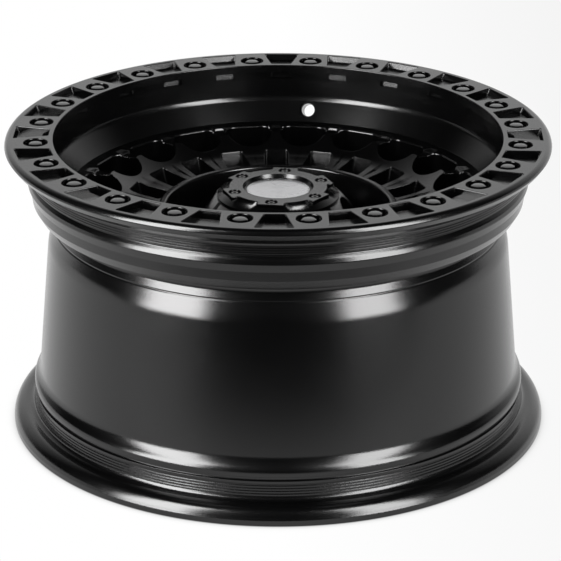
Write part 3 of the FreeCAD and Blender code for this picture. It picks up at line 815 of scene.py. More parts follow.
    def build_undercut(self) -> None:
        """The undercut behind the ring's edge, with the pockets' slots in it, and the inner wall below."""
        half = 180.0 / self.bolt_count
        slot = self.slot_azimuth
        grid = sector(half) - PLUS_Y
        outer_right = grid[grid < -slot - NEAR]
        inner = np.linspace(-slot, slot, self.slot_points)
        azimuths = PLUS_Y + np.concatenate([outer_right, inner, -outer_right[::-1]])
        copies, turn = self.bolt_count, half
        heights = (self.undercut_foot, self.well_floor, self.ring_edge)
        circle = polar(self.undercut, azimuths)
        wall = at(-unit(circle), 0.0)
        faces = quads(3, len(circle), False)
        column = faces[:, 0] % len(circle)
        in_slot = (column >= len(outer_right)) & (column < len(outer_right) + len(inner) - 1)
        keep = (faces[:, 0] < len(circle)) | ~in_slot
        points = np.concatenate([level(height)(circle)[0] for height in heights])
        self.shell.add(points, np.tile(wall, (3, 1)), faces[keep], copies, turn)
        outside = np.abs(azimuths - PLUS_Y) > slot - NEAR
        right, left = circle[outside & (azimuths < PLUS_Y)], circle[outside & (azimuths > PLUS_Y)]
        notch = self.slot_end[np.argsort(-self.slot_end[:, 0], kind="stable")]
        rim = polar(self.ring_inner + self.edge_round / 2, PLUS_Y + grid[::-1])
        edge = np.concatenate([right, notch[1:-1], left, rim])
        self.shell.plate(edge, [], level(self.ring_edge, -1.0), copies=copies, turn=turn)
        bend = np.array(self.wall_bend[:2])
        start = np.array([self.undercut, self.undercut_foot])
        end = start + (bend - start) * self.strip_share
        lean = unit(np.array([start[1] - bend[1], bend[0] - start[0]]))
        strip = np.concatenate([
            np.stack([azimuths, np.zeros(len(azimuths))], axis=-1),
            np.stack([PLUS_Y + grid[::-1], np.ones(len(grid))], axis=-1),
        ])

        def lift(plan: Array) -> tuple[Array, Array]:
            """Points of the strip between the undercut and the wall, from azimuth and share."""
            place = start + (end - start) * plan[:, 1:2]
            around = polar(1.0, plan[:, 0])
            return at(around * place[:, :1], place[:, 1]), at(-around * lean[0], -lean[1])

        self.shell.plate(strip, [], lift, copies=copies, turn=turn)
        foot = np.array([self.wall_foot, self.ledge])
        self.wall_low, self.wall_top = (tuple(foot + (bend - foot) * share) for share in self.band_shares)
        self.shell.turned([tuple(end), self.wall_bend, self.wall_top])
        self.shell.turned([self.wall_low, (self.wall_foot, self.ledge, 1.0), (self.web_outer, self.ledge)])

    def web_hole(self) -> list[Corner]:
        """Outline of an oval web hole on the +Y side."""
        return both_sides([
            (self.hole_half, self.hole_inner, self.hole_inner_round),
            (self.hole_half, self.hole_outer, self.hole_outer_round),
        ])

    def window(self) -> list[Corner]:
        """Outline of a window on the +Y side."""
        return both_sides([
            (self.window_half, self.window_inner, self.window_round),
            (self.window_half, self.window_outer, self.window_round),
        ])

    def hole_lip(self, plan: Array) -> Array:
        """Round of an oval hole's edge: sharp along the fingers, soft at its outer end."""
        share = np.clip((plan[:, 1] - self.far_lip_start) / (self.hole_outer - self.far_lip_start), 0.0, 1.0)
        return self.web_lip + (self.far_lip - self.web_lip) * share

    def window_foot(self, plan: Array) -> Array:
        """A window's outline at the web's back, where its outer wall has come in."""
        share = (plan[:, 1] - self.window_inner) / (self.window_outer - self.window_inner)
        return plan - np.stack([np.zeros(len(plan)), np.clip(share, 0.0, 1.0) * self.window_lean], axis=-1)

    def build_web(self) -> None:
        """The dish and its back, with oval holes between the fingers and a window in each finger."""
        half = 180.0 / self.spoke_count
        top = Relief([
            (self.web_outer, self.ledge), (170.5, self.ledge, 0.5), (169.5, 206.5, 0.5), (156.3, 206.5, 0.4),
            (155.3, self.ledge, 0.4), (131.0, 196.0, 40.0), (self.web_inner, self.web_low),
        ])
        back = Relief([self.back_inner, (151.0, self.web_back, 12.0), (self.back_outer, self.web_back)])
        spacing = {"step": 7.0, "run": 1.6}
        edge, sideways = outline(self.web_hole(), **spacing)
        azimuths = sector(half)
        lip = even(self.web_lip)
        for relief, inner, outer, hole_lip, foot in (
            (top, self.web_inner, self.web_outer, self.hole_lip, None),
            (back, self.back_inner[0], self.back_outer, lip, self.window_foot),
        ):
            oval = edge + sideways * hole_lip(edge)[:, None]
            opening, _ = outline(self.window(), self.web_lip, **spacing)
            side = oval[oval[:, 0] > SMALL]
            side = side[np.argsort(np.arctan2(side[:, 0], side[:, 1] - self.hole_middle))]
            if np.abs(oval[:, 0]).min() < SMALL:
                side = np.concatenate([[[0.0, oval[:, 1].max()]], side, [[0.0, oval[:, 1].min()]]])
            seam = relief.rows(self.row_gap)
            seam = seam[(seam > inner + self.row_gap) & (seam < oval[:, 1].min() - self.row_gap)]
            boundary = np.concatenate([
                polar(outer, azimuths), spin(side, half), polar(seam[::-1], PLUS_Y + half),
                polar(inner, azimuths[::-1]), polar(seam, PLUS_Y - half),
                spin(side * [-1.0, 1.0], -half)[::-1],
            ])
            free = relief.arcs(self.row_gap, (PLUS_Y - half, PLUS_Y + half), self.point_gap)
            hole = foot(opening) if foot else opening
            self.shell.plate(boundary, [hole], relief, free, self.spoke_count, half)
        for corners, turn, hole_lip, foot in (
            (self.web_hole(), 0.0, self.hole_lip, None), (self.window(), half, lip, self.window_foot),
        ):
            self.shell.hole(
                corners, top, back, hole_lip, self.spoke_count, turn,
                end_lip=self.web_lip, foot=foot, **spacing,
            )

    def build_hub(self) -> None:
        """The lip and bowl round the hub, the boss with its lug holes, the bore, the pad and the back."""
        half = 180.0 / self.lug_count
        self.shell.turned([
            (self.web_inner, self.web_low), (self.bowl_rim, self.web_low, 0.6),
            (self.bowl_rim, self.bowl_rim_top, 2.2), (98.5, self.bowl_rim_top, 2.2),
            (89.5, self.bowl_floor, 2.0), (self.boss_foot, self.bowl_floor),
        ])
        top = Relief([
            (self.boss_foot, self.bowl_floor), (85.85, self.bowl_floor, 0.6), (66.0, 191.5, 4.0),
            (55.5, self.boss_top, 1.0), (self.boss_edge, self.boss_top),
        ])
        azimuths = sector(half)
        ring = polar(1.0, np.linspace(0.0, 360.0, self.hole_points, endpoint=False))
        middle = np.array([0.0, self.lug_circle])
        lip = self.edge_round
        pad_edge, bore_edge = self.pad_radius - self.pad_round, self.bore + self.bore_round
        free = top.arcs(2 * self.row_gap, (PLUS_Y - half, PLUS_Y + half), self.point_gap)
        for outer, inner, hole, lift, extra in (
            (self.boss_foot, self.boss_edge, self.lug_pocket, top, free),
            (pad_edge, bore_edge, self.lug_hole, level(self.pad, -1.0), None),
        ):
            boundary = np.concatenate([polar(outer, azimuths), polar(inner, azimuths[::-1])])
            mouth = middle + ring * (hole + lip)
            self.shell.plate(boundary, [mouth], lift, extra, self.lug_count, half)
        loops, normals = [], []
        for cos, sin in QUARTER:
            points, up = top(middle + ring * (self.lug_pocket + lip * (1 - sin)))
            points[:, 2] -= lip * (1 - cos)
            loops.append(points)
            normals.append(unit(up * cos + at(-ring, 0.0) * sin))
        lower_loops, lower_normals = bored([
            (self.lug_pocket, self.lug_floor + 5.0), (self.lug_pocket, self.lug_floor, 1.0),
            (self.lug_seat, self.lug_floor, 0.4), (self.lug_hole, self.lug_seat_foot, 0.4),
            (self.lug_hole, self.pad, lip), (self.lug_hole + lip, self.pad),
        ], ring, middle)
        self.shell.loft(loops + lower_loops, normals + lower_normals, self.lug_count, half)
        self.shell.turned([
            (self.boss_edge, self.boss_top), (30.0, self.boss_top, 0.5), (30.0, 189.5, 0.5),
            (46.1, 189.5, 3.0), (46.1, self.bore_top, 0.5), (self.bore, self.bore_top, 0.5),
            (self.bore, self.pad, self.bore_round), (bore_edge, self.pad),
        ])
        self.shell.turned([
            (pad_edge, self.pad), (self.pad_radius, self.pad, self.pad_round), (88.0, 121.7, 0.8),
            (100.5, self.bowl_floor, 6.0), self.back_inner,
        ])

    def build_valve(self) -> None:
        """The valve hole through the wall, and the bands of wall around its two ends."""
        tilt = math.radians(self.valve_tilt)
        start = np.array([0.0, self.valve_place[0], self.valve_place[1]])
        along = np.array([0.0, math.cos(tilt), -math.sin(tilt)])
        across = np.array([1.0, 0.0, 0.0])
        upwards = np.cross(across, along)
        turn = np.linspace(0.0, 2 * math.pi, self.valve_points, endpoint=False)[:, None]
        ray = np.cos(turn) * across + np.sin(turn) * upwards
        inner_band = [self.wall_low, self.wall_top]
        outer_band = self.valve_back

        def meet(radius: float, band: Sequence[Corner]) -> Array:
            """Where lines at a radius from the hole's axis meet a band of wall."""
            places = start + ray * radius
            reach = np.zeros((len(places), 1))
            heights, radii = zip(*[(corner[1], corner[0]) for corner in band])
            for _ in range(self.meet_steps):
                now = places + along * reach
                miss = np.interp(now[:, 2], heights, radii) - np.linalg.norm(now[:, :2], axis=1)
                reach += miss[:, None]
            return places + along * reach

        seat = start + ray * self.valve_seat_radius + along * self.valve_seat_depth
        step = start + ray * self.valve_radius + along * self.valve_seat_depth
        mouth, outlet = meet(self.valve_seat_radius, inner_band), meet(self.valve_radius, outer_band)
        for loops, normal in (
            ([mouth, seat], -ray), ([seat, step], np.tile(-along, (len(ray), 1))), ([step, outlet], -ray),
        ):
            self.shell.loft(loops, [normal, normal])
        for band, loop, sign in ((inner_band, mouth, -1.0), (outer_band, outlet, 1.0)):
            self.wall_band(band, loop, sign)

    def wall_band(self, band: Sequence[Corner], loop: Array, sign: float) -> None:
        """A band of wall with one hole in it.

        Args:
            band: its section, from the bottom up.
            loop: the hole's edge in space.
            sign: 1 if the band faces outwards and -1 if it faces the axis.
        """
        radii, heights = np.array(band, float).T
        first, last = self.valve_azimuth - self.valve_span, self.valve_azimuth + self.valve_span
        near = (FULL_GRID > first + NEAR) & (FULL_GRID < last - NEAR)
        far = np.concatenate([FULL_GRID[FULL_GRID >= last - NEAR], FULL_GRID[FULL_GRID <= first + NEAR]])
        self.shell.turned(band if sign > 0 else band[::-1], far, closed=False)
        span = np.concatenate([[first], FULL_GRID[near], [last]])
        sides = heights[1:-1]
        boundary = np.concatenate([
            np.stack([span, np.full(len(span), heights[0])], axis=-1),
            np.stack([np.full(len(sides), span[-1]), sides], axis=-1),
            np.stack([span[::-1], np.full(len(span), heights[-1])], axis=-1),
            np.stack([np.full(len(sides), span[0]), sides[::-1]], axis=-1),
        ])
        hole = np.stack([np.degrees(np.arctan2(loop[:, 1], loop[:, 0])), loop[:, 2]], axis=-1)
        slopes = np.gradient(radii, heights)

        def lift(plan: Array) -> tuple[Array, Array]:
            """Points on the band from azimuth and height."""
            radius = np.interp(plan[:, 1], heights, radii)
            slope = np.interp(plan[:, 1], heights, slopes)
            around = polar(1.0, plan[:, 0])
            return at(around * radius[:, None], plan[:, 1]), sign * unit(at(around, -slope))

        self.shell.plate(boundary, [hole], lift)


@dataclass
class RingBolts:
    """The hex-head bolts in the ring's recesses. Sizes are in millimetres."""

    count: int = 24
    circle: float = 210.0
    seat: float = 255.0
    head: float = 5.5
    flats: float = 11.1
    crown: float = 5.0
    chamfer_slope: float = 0.62
    sides: int = 6
    side_points: int = 13
    tip_share: float = 0.002
    shank_radius: float = 3.0
    shank_length: float = 14.0

    def build(self) -> list[bpy.types.Object]:
        """Builds all the bolts as one piece.

        Returns:
            The bolts, in place of their CAD node.
        """
        one = Shell()
        self.add_head(one)
        end = self.seat - self.shank_length
        one.turned([
            (self.flats / 2, self.seat), (self.shank_radius, self.seat), (self.shank_radius, end, 0.5),
            (AT_AXIS, end),
        ], COARSE_GRID)
        every = Shell()
        every.take(one, (0.0, self.circle, 0.0), self.count)
        piece = every.build("ring_bolts_dressed")
        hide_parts("ring_bolts")
        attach(piece, "root")
        return [piece]

    def add_head(self, one: Shell) -> None:
        """Adds the six sides, the chamfer and the crown of a head to a shell."""
        half = 180.0 / self.sides
        angle = np.linspace(-half, half, self.side_points)
        reach = self.flats / 2 / np.cos(np.radians(angle))
        top = self.seat + self.head
        plan, crown = polar(reach, angle), polar(self.crown, angle)
        edge = top - (reach - self.crown) * self.chamfer_slope
        side = np.tile([1.0, 0.0, 0.0], (len(angle), 1))
        lean = unit(at(polar(self.chamfer_slope, angle), 1.0))
        up = np.tile([0.0, 0.0, 1.0], (len(angle), 1))
        low = level(self.seat)(plan)[0]
        high = at(plan, edge)
        rim = level(top)(crown)[0]
        centre = level(top)(crown * self.tip_share)[0]
        under = level(self.seat)(polar(self.flats / 2, angle))[0]
        faces = quads(2, len(angle), False)
        for lower, upper, first, last in (
            (low, high, side, side), (high, rim, lean, unit(lean + up)),
            (rim, centre, unit(lean + up * 3), up), (under, low, -up, -up),
        ):
            one.add(np.concatenate([lower, upper]), np.concatenate([first, last]), faces, self.sides, half)


@dataclass
class CentreCap:
    """The cap over the hub, with six tabs that its screws sit in. Sizes are in millimetres."""

    radius: float = 53.4
    base: float = 203.5
    top: float = 212.3
    skirt: float = 2.0
    scoop_radius: float = 43.0
    scoop_shares: tuple[float, ...] = (0.2, 0.35, 0.5, 0.65, 0.8)
    cone_radius: float = 40.0
    cone_rise: float = 1.96
    tab_count: int = 6
    tab_half: float = 11.5
    tab_reach: float = 47.8
    tab_round: float = 1.4
    root_round: float = 2.5
    edge: float = 0.6
    dish_radius: float = 31.0
    dish_step: float = 2.5
    dish_land: float = 0.6
    emblem_radius: float = 28.5
    emblem_face: float = 209.3
    emblem_floor: float = 207.8
    screw_circle: float = 40.6
    recess_radius: float = 5.2
    recess_depth: float = 4.6
    spigot_radius: float = 29.8
    spigot_length: float = 6.0

    def star(self) -> list[Corner]:
        """Corners of the cap's top face: an arc between every two tabs."""
        root = math.sqrt(self.scoop_radius ** 2 - self.tab_half ** 2)
        first = math.degrees(math.atan2(root, -self.tab_half)) - PLUS_Y
        corners: list[Corner] = []
        for index in range(self.tab_count):
            turn = 360.0 / self.tab_count * index
            right = [(self.tab_half, root, self.root_round), (self.tab_half, self.tab_reach, self.tab_round)]
            tab = np.array(right + [(-x, y, size) for x, y, size in right[::-1]])
            corners += [tuple(row) for row in spin(tab, turn)]
            gap = 360.0 / self.tab_count - 2 * first
            for share in self.scoop_shares:
                corners.append(tuple(polar(self.scoop_radius, PLUS_Y + turn + first + gap * share)))
        return corners

    def build(self) -> list[bpy.types.Object]:
        """Builds the cap.

        Returns:
            The cap, in place of its CAD node.
        """
        shell = Shell()
        corners = self.star()
        cone = Relief([(self.radius, self.base + self.skirt), (self.cone_radius, self.top + self.cone_rise)])
        around = np.arange(0.0, 360.0, self.dish_step)
        turns = np.arange(self.tab_count) * 360.0 / self.tab_count
        mouth = polar(self.recess_radius + self.edge, COARSE_GRID) + [0.0, self.screw_circle]
        holes = [polar(self.dish_radius, around), *(spin(mouth, turn) for turn in turns)]
        shell.plate(outline(corners, -self.edge)[0], holes, level(self.top))
        foot, _ = outline(corners)
        shell.plate(polar(self.radius, FULL_GRID), [foot], cone)
        shell.edge_wall(corners, self.top, cone, self.edge)
        shell.turned([
            (self.dish_radius, self.top), (self.emblem_radius + self.dish_land, self.emblem_face, 0.3),
            (self.emblem_radius, self.emblem_face, 0.2), (self.emblem_radius, self.emblem_floor),
            (AT_AXIS, self.emblem_floor),
        ], around)
        spigot_end, recess_floor = self.base - self.spigot_length, self.top - self.recess_depth
        shell.turned([
            (AT_AXIS, spigot_end), (self.spigot_radius, spigot_end, 0.5), (self.spigot_radius, self.base),
            (self.radius, self.base), (self.radius, self.base + self.skirt),
        ])
        recess = Shell()
        recess.turned([
            (self.recess_radius + self.edge, self.top), (self.recess_radius, self.top, self.edge),
            (self.recess_radius, recess_floor, 0.3), (AT_AXIS, recess_floor),
        ], COARSE_GRID)
        shell.take(recess, (0.0, self.screw_circle, 0.0), self.tab_count)
        piece = shell.build("centre_cap_dressed")
        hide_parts("centre_cap")
        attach(piece, "root")
        return [piece]


@dataclass
class EmblemDisc:
    """The unmarked disc in the cap's dish. Sizes are in millimetres."""

    radius: float = 28.4
    floor: float = 207.8
    face: float = 209.3
    border: float = 1.6
    sink: float = 0.35
    grid_step: float = 3.0

    def build(self) -> list[bpy.types.Object]:
        """Builds the disc, with a fine raised border.

        Returns:
            The disc, in place of its CAD node.
        """
        shell = Shell()
        inner, sunk = self.radius - self.border, self.face - self.sink
        shell.turned([
            (AT_AXIS, self.floor), (self.radius, self.floor), (self.radius, self.face, 0.4),
            (inner, self.face, 0.3), (inner - self.sink, sunk, 0.3), (AT_AXIS, sunk),
        ], np.arange(0.0, 360.0, self.grid_step))
        piece = shell.build("cap_emblem_disc_dressed")
        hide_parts("cap_emblem_disc")
        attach(piece, "root")
        return [piece]


@dataclass
class CapScrews:
    """The socket-head screws of the cap. Sizes are in millimetres."""

    count: int = 6
    circle: float = 40.6
    seat: float = 207.7
    head_radius: float = 3.3
    head_flat: float = 2.6
    head: float = 4.0
    socket_flats: float = 2.6
    socket_depth: float = 2.2
    socket_bevel: float = 0.2
    shank_radius: float = 2.5
    shank_end: float = 195.5

    def build(self) -> list[bpy.types.Object]:
        """Builds all the screws as one piece.

        Returns:
            The screws, in place of their CAD node.
        """
        one = Shell()
        top = self.seat + self.head
        one.turned([
            (AT_AXIS, self.shank_end), (self.shank_radius, self.shank_end, 0.4),
            (self.shank_radius, self.seat), (self.head_radius, self.seat, 0.2),
            (self.head_radius, top, 0.6), (self.head_flat, top),
        ], COARSE_GRID)
        corners = polar(self.socket_flats / math.sqrt(3.0), np.arange(0.0, 360.0, 60.0))
        socket = [tuple(place) for place in corners]
        edge, sideways = outline(socket, run=1.0)
        mouth, floor = edge + sideways * self.socket_bevel, level(top - self.socket_depth)
        one.plate(polar(self.head_flat, COARSE_GRID), [mouth], level(top))
        one.hole(socket, level(top), floor, even(self.socket_bevel), run=1.0)
        one.plate(edge, [], floor)
        every = Shell()
        every.take(one, (0.0, self.circle, 0.0), self.count)
        piece = every.build("cap_screws_dressed")
        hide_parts("cap_screws")
        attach(piece, "root")
        return [piece]


@dataclass
class Graph:
    """A tree of shader nodes that grows one node at a time."""

    tree: bpy.types.NodeTree

    def feed(self, node: bpy.types.Node, inputs: dict[str | int, object]) -> None:
        """Sets inputs of a node.

        Args:
            node: the node.
            inputs: a value, or the output that gives it, for each name or number of an input.
        """
        for name, value in inputs.items():
            if isinstance(value, bpy.types.NodeSocket):
                self.tree.links.new(value, node.inputs[name])
            else:
                node.inputs[name].default_value = value

    def add(
        self, kind: str, inputs: dict[str | int, object] | None = None, **settings: object
    ) -> bpy.types.Node:
        """Adds a node.

        Args:
            kind: its type, without the word that every type begins with.
            inputs: as for feed.
            settings: values of its own properties.

        Returns:
            The node.
        """
        node = self.tree.nodes.new("ShaderNode" + kind)
        for name, value in settings.items():
            setattr(node, name, value)
        self.feed(node, inputs or {})
        return node

    def combine(self, operation: str, *terms: object) -> bpy.types.NodeSocket:
        """The result of an operation on numbers."""
        return self.add("Math", dict(enumerate(terms)), operation=operation).outputs["Value"]

    def vector(self, operation: str, *terms: object) -> bpy.types.NodeOutputs:
        """The outputs of an operation on vectors."""
        return self.add("VectorMath", dict(enumerate(terms)), operation=operation).outputs

    def ramp(
        self, source: bpy.types.NodeSocket, ends: tuple[float, float],
        values: tuple[float, float] = (0.0, 1.0),
    ) -> bpy.types.NodeSocket:
        """A number that runs from one value to another.

        Args:
            source: the number it follows.
            ends: where the source starts and stops to matter.
            values: the results there.

        Returns:
            The result, held at its ends.
        """
        names = ("From Min", "From Max", "To Min", "To Max")
        inputs = {"Value": source, **dict(zip(names, (*ends, *values)))}
        return self.add("MapRange", inputs).outputs["Result"]


@dataclass(frozen=True)
class Finish:
    """A painted or plated surface with a fine grain.

    Attributes:
        name: the material's name.
        colour: its base colour, linear.
        spread: how much lighter and darker the colour gets.
        roughness: lowest and highest roughness.
        metallic: 0 for paint and plastic, 1 for bare metal.
        grain: grains to the millimetre.
        bump: height of the grain, in millimetres.
        cloud: patches of tone to the metre.
        cloud_detail: detail of the patches' noise.
        grain_detail: detail of the grain's noise.
        cloud_span: noise values between which tone and roughness change.
    """

    name: str
    colour: tuple[float, float, float]
    spread: float
    roughness: tuple[float, float]
    metallic: float = 0.0
    grain: float = 1.2
    bump: float = 0.004
    cloud: float = 14.0
    cloud_detail: float = 5.0
    grain_detail: float = 2.0
    cloud_span: tuple[float, float] = (0.3, 0.7)

    def make(self) -> bpy.types.Material:
        """Makes the material from noise in object space."""
        material = bpy.data.materials.new(self.name)
        material.use_nodes = True
        graph = Graph(material.node_tree)
        place = graph.add("TexCoord").outputs["Object"]
        noise = {"Vector": place, "Scale": self.cloud, "Detail": self.cloud_detail}
        cloud = graph.add("TexNoise", noise).outputs["Fac"]
        tone = graph.add("ValToRGB", {"Fac": cloud})
        factors = (1.0 - self.spread, 1.0 + self.spread)
        for element, position, factor in zip(tone.color_ramp.elements, self.cloud_span, factors):
            element.position = position
            element.color = (*[channel * factor for channel in self.colour], 1.0)
        noise = {"Vector": place, "Scale": self.grain / MM, "Detail": self.grain_detail}
        grain = graph.add("TexNoise", noise)
        bump = graph.add("Bump", {"Distance": self.bump * MM, "Height": grain.outputs["Fac"]})
        graph.feed(material.node_tree.nodes["Principled BSDF"], {
            "Metallic": self.metallic,
            "Base Color": tone.outputs["Color"],
            "Roughness": graph.ramp(cloud, self.cloud_span, self.roughness),
            "Normal": bump.outputs["Normal"],
        })
        return material

    def dress(self, piece: bpy.types.Object) -> None:
        """Gives a piece this finish."""
        piece.data.materials.clear()
        piece.data.materials.append(self.make())


@dataclass(frozen=True)
class SpunDisc(Finish):
    """Metal with fine turned rings, inside a painted border.

    Attributes:
        border: radius where the paint begins, in millimetres.
        paint: colour of the border, linear.
        rings: turned rings to the millimetre.
        rings: turned rings to the millimetre.
        ring_bump: height of the rings, in millimetres.
        blur: half the width of the paint's edge, in millimetres.
    """

    border: float = 27.4
    paint: tuple[float, float, float] = (0.0018, 0.0018, 0.0019)
    rings: float = 2.2
    ring_bump: float = 0.03
    blur: float = 0.15

    def make(self) -> bpy.types.Material:
        """Makes the metal, its rings and its border from the distance to the axis."""
        material = super().make()
        graph = Graph(material.node_tree)
        shader = material.node_tree.nodes["Principled BSDF"]
        place = graph.add("TexCoord").outputs["Object"]
        away = graph.vector("LENGTH", graph.vector("MULTIPLY", place, LEVEL)["Vector"])["Value"]
        painted = graph.ramp(away, ((self.border - self.blur) * MM, (self.border + self.blur) * MM))
        bare = graph.combine("SUBTRACT", 1.0, painted)
        metal, grain = (shader.inputs[name].links[0].from_socket for name in ("Base Color", "Normal"))
        colour = graph.add(
            "Mix", {"Factor": painted, "A": metal, "B": (*self.paint, 1.0)}, data_type="RGBA"
        )
        turned = graph.add("TexNoise", {"W": away, "Scale": self.rings / MM}, noise_dimensions="1D")
        rings = graph.add("Bump", {
            "Distance": self.ring_bump * MM, "Height": turned.outputs["Fac"],
            "Strength": bare, "Normal": grain,
        })
        graph.feed(shader, {
            "Base Color": colour.outputs["Result"], "Metallic": bare, "Normal": rings.outputs["Normal"],
        })
        return material


class Reach(Enum):
    """What a light shows: its own reflection, or the colour of what it falls on."""

    SHEEN = "sheen"
    COLOUR = "colour"


@dataclass(frozen=True)
class Softbox:
    """An upright soft light that stands on the floor and faces the wheel.

    Attributes:
        name: the light's name.
        azimuth: degrees to the right of the camera, seen from the wheel.
        distance: metres from the wheel's axis.
        width: metres across.
        height: metres from the floor to its upper edge.
        radiance: brightness of its face, where 1 is white.
        reach: what it shows.
    """

    name: str
    azimuth: float
    distance: float
    width: float
    height: float
    radiance: float
    reach: Reach

    def stand(self, camera_azimuth: float) -> None:
        """Stands the light on the floor.

        Args:
            camera_azimuth: the camera's azimuth from the wheel, in degrees.
        """
        away = heading(camera_azimuth + self.azimuth)
        lamp = bpy.data.lights.new(self.name, "AREA")
        lamp.shape = "RECTANGLE"
        lamp.size, lamp.size_y = self.width, self.height
        lamp.energy = LAMP_POWER * self.radiance * self.width * self.height
        light = bpy.data.objects.new(self.name, lamp)
        light.location = away * self.distance + Vector((0.0, 0.0, self.height / 2))
        light.rotation_euler = (-away).to_track_quat("-Z", "Y").to_euler()
        light.visible_camera = False
        light.visible_diffuse = self.reach is Reach.COLOUR
        light.visible_glossy = self.reach is Reach.SHEEN
        bpy.context.scene.collection.objects.link(light)


@dataclass
class Studio:
    """White floor and backdrop, softboxes and the camera. Lengths are in metres.

    Attributes:
        camera_place: where the camera stands.
        camera_pitch: its tilt up from looking straight down, in degrees.
        camera_turn: its turn about the upright axis, in degrees.
        lens: its focal length, in millimetres.
        sensor: width of its sensor, in millimetres.
        shift: sideways shift of its picture.
        view_reach: how far it sees.
        floor_reach: how far the floor goes behind the wheel and to its sides.
        floor_front: how far it goes towards the camera.
        front_fade: distances towards the camera between which the floor that other rays see is painted darker.
        front_dark: what is left of it there.
        seen_offset: added to the distance for the camera's own rays, so that they see no such fade.
        shadow_reach: how far the wheel's painted contact shadow goes.
        shadow_samples: rays that look for it.
        shadow_ends: openness of the floor between which the shadow fades.
        shadow_dark: brightness of the floor in the deepest shadow.
        hollow_shade_radii: radii between which the floor's painted shade inside the wheel gives way to its
            full glow.
        hollow_shade_dark: brightness of the floor's painted shade in there.
        right_shade: distances to the right between which the floor is painted darker as painted shade, and
            what is left.
        floor_colour: the floor as other rays see it.
        dim: brightness of the studio away from the backdrop.
        backdrop_azimuth: the backdrop's middle, in degrees from the camera.
        backdrop_sides: where the backdrop fades at its sides, as cosines from its middle.
        backdrop_top: where it fades at its top, as heights of a direction.
        lights: the softboxes.
    """

    camera_place: tuple[float, float, float] = (0.3216, -2.2047, 1.0273)
    camera_pitch: float = 67.909
    camera_turn: float = 8.3
    lens: float = 174.03
    sensor: float = 36.0
    shift: float = 0.0043
    view_reach: float = 100.0
    floor_reach: float = 40.0
    floor_front: float = 0.75
    front_fade: tuple[float, float] = (0.3, 0.64)
    front_dark: float = 0.03
    seen_offset: float = -2.0
    shadow_reach: float = 0.045
    shadow_samples: int = 16
    shadow_ends: tuple[float, float] = (0.05, 0.8)
    shadow_dark: float = 0.25
    hollow_shade_radii: tuple[float, float] = (0.208, 0.226)
    hollow_shade_dark: float = 0.01
    right_shade: tuple[float, float, float] = (0.0, 0.55, 0.86)
    floor_colour: tuple[float, float, float, float] = (0.8, 0.8, 0.8, 1.0)
    dim: float = 0.015
    backdrop_azimuth: float = 174.0
    backdrop_sides: tuple[float, float] = (0.36, 0.95)
    backdrop_top: tuple[float, float] = (0.79, 0.42)
    lights: tuple[Softbox, ...] = (
        Softbox("left_softbox", -48.5, 1.68, 0.88, 2.2, 15.0, Reach.SHEEN),
        Softbox("right_softbox", 43.0, 1.68, 0.76, 2.2, 12.0, Reach.SHEEN),
        Softbox("left_key", -48.5, 1.68, 0.88, 2.2, 4.0, Reach.COLOUR),
        Softbox("right_key", 43.0, 1.68, 0.76, 2.2, 4.0, Reach.COLOUR),
    )

    def build(self) -> None:
        """Builds the whole studio."""
        scene = bpy.context.scene
        scene.view_settings.view_transform = "Standard"
        camera_azimuth = math.degrees(math.atan2(self.camera_place[1], self.camera_place[0]))
        self.place_camera()
        self.lay_floor(camera_azimuth)
        self.set_world(camera_azimuth)
        for softbox in self.lights:
            softbox.stand(camera_azimuth)

    def place_camera(self) -> None:
        """Sets the camera at the photograph's viewing angle."""
        lens = bpy.data.cameras.new("photo_camera")
        lens.sensor_width = self.sensor
        lens.lens = self.lens
        lens.shift_x = self.shift
        lens.clip_end = self.view_reach
        camera = bpy.data.objects.new("photo_camera", lens)
        camera.location = self.camera_place
        camera.rotation_euler = (math.radians(self.camera_pitch), 0.0, math.radians(self.camera_turn))
        bpy.context.scene.collection.objects.link(camera)
        bpy.context.scene.camera = camera

    def lay_floor(self, camera_azimuth: float) -> None:
        """Lays a white floor that ends in front of the wheel, with the wheel's contact shadow and other shade
        painted into its glow.

        Args:
            camera_azimuth: the camera's azimuth from the wheel, in degrees.
        """
        reach, front = self.floor_reach, self.floor_front
        corners = at(np.array([(front, -reach), (front, reach), (-reach, reach), (-reach, -reach)]), 0.0)
        mesh = bpy.data.meshes.new("studio_floor")
        mesh.from_pydata(spin(corners, camera_azimuth).tolist(), [], [(0, 1, 2, 3)])
        floor = bpy.data.objects.new("studio_floor", mesh)
        bpy.context.scene.collection.objects.link(floor)
        material = bpy.data.materials.new("white_floor")
        material.use_nodes = True
        graph, nodes = Graph(material.node_tree), material.node_tree.nodes
        nodes.remove(nodes["Principled BSDF"])
        path = graph.add("LightPath").outputs
        seen = path["Is Camera Ray"]
        for ray in ("Is Glossy Ray", "Is Transmission Ray"):
            seen = graph.combine("MAXIMUM", seen, path[ray])
        place = graph.add("TexCoord").outputs["Object"]
        away = graph.vector("LENGTH", place)["Value"]
        forward, sideways = (
            graph.vector("DOT_PRODUCT", place, heading(camera_azimuth + turn))["Value"]
            for turn in (0.0, 90.0)
        )
        # The floor that reflections see is painted darker towards the camera; the camera's own rays are moved
        # back so they never see it.
        nearer = graph.combine("MULTIPLY_ADD", path["Is Camera Ray"], self.seen_offset, forward)
        # Painted contact shadow: ambient occlusion near the wheel dims the floor's glow.
        around = {"Distance": self.shadow_reach}
        shade = graph.add("AmbientOcclusion", around, samples=self.shadow_samples).outputs["AO"]
        # Painted shade: the floor inside the wheel glows dark, in place of the shade under the wheel.
        strength = graph.ramp(away, self.hollow_shade_radii, (self.hollow_shade_dark, 1.0))
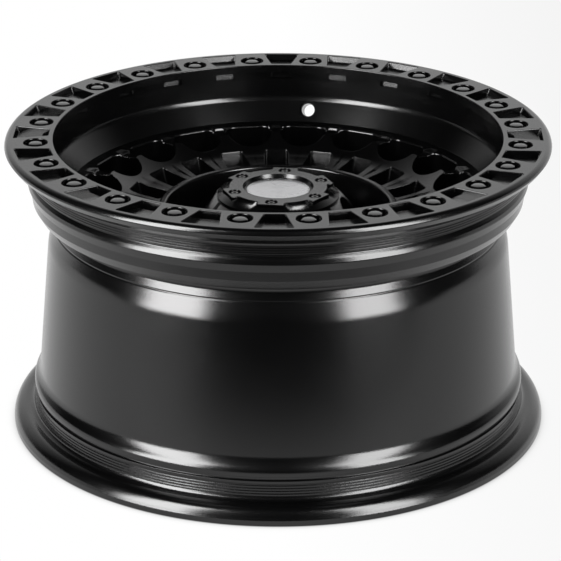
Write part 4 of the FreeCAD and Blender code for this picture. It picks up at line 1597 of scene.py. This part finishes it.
        # Painted shade: the floor glows darker to the right, and darker towards the camera where reflections
        # see it.
        for source, ends, values in (
            (sideways, self.right_shade[:2], (1.0, self.right_shade[2])),
            (nearer, self.front_fade, (1.0, self.front_dark)),
            (shade, self.shadow_ends, (self.shadow_dark, 1.0)),
        ):
            strength = graph.combine("MULTIPLY", strength, graph.ramp(source, ends, values))
        glow = graph.add("Emission", {"Strength": strength}).outputs["Emission"]
        plain = graph.add("BsdfDiffuse", {"Color": self.floor_colour}).outputs["BSDF"]
        mix = graph.add("MixShader", {"Fac": seen, 1: plain, 2: glow})
        graph.feed(nodes["Material Output"], {"Surface": mix.outputs["Shader"]})
        mesh.materials.append(material)

    def set_world(self, camera_azimuth: float) -> None:
        """Sets a white backdrop behind the wheel, which fades into a dim studio at its sides and top.

        Args:
            camera_azimuth: the camera's azimuth from the wheel, in degrees.
        """
        world = bpy.data.worlds.new("studio_world")
        bpy.context.scene.world = world
        world.use_nodes = True
        graph = Graph(world.node_tree)
        place = graph.add("TexCoord").outputs["Generated"]
        level_way = graph.vector("NORMALIZE", graph.vector("MULTIPLY", place, LEVEL)["Vector"])["Vector"]
        middle = heading(camera_azimuth + self.backdrop_azimuth)
        facing = graph.ramp(graph.vector("DOT_PRODUCT", level_way, middle)["Value"], self.backdrop_sides)
        height = graph.add("SeparateXYZ", {"Vector": place}).outputs["Z"]
        strength = graph.combine("MULTIPLY", facing, graph.ramp(height, self.backdrop_top))
        path = graph.add("LightPath").outputs
        for least in (self.dim, path["Is Camera Ray"], path["Is Transmission Ray"]):
            strength = graph.combine("MAXIMUM", strength, least)
        graph.feed(world.node_tree.nodes["Background"], {"Color": WHITE, "Strength": strength})


SATIN_BLACK = Finish("satin_black_paint", (0.0016, 0.0016, 0.0017), 0.12, (0.17, 0.2), bump=0.05)
BLACK_BOLT = Finish("black_bolt_coat", (0.003, 0.003, 0.0031), 0.15, (0.14, 0.18), grain=2.5, bump=0.02)
BLACK_CAP = Finish("satin_black_cap", (0.0018, 0.0018, 0.0019), 0.1, (0.18, 0.22), bump=0.05)
DISC_METAL = SpunDisc("spun_disc_metal", (0.62, 0.62, 0.63), 0.06, (0.24, 0.3), metallic=1.0, grain=3.0)
BLACK_SCREW = Finish("black_screw_coat", (0.003, 0.003, 0.0031), 0.15, (0.14, 0.18), grain=3.0, bump=0.02)


def main() -> None:
    """Builds and dresses every piece, then the studio."""
    for maker, finish in (
        (Casting(), SATIN_BLACK), (RingBolts(), BLACK_BOLT), (CentreCap(), BLACK_CAP),
        (EmblemDisc(), DISC_METAL), (CapScrews(), BLACK_SCREW),
    ):
        for piece in maker.build():
            finish.dress(piece)
            log.info("%s wears %s", piece.name, finish.name)
    Studio().build()


if __name__ == "__main__":
    main()
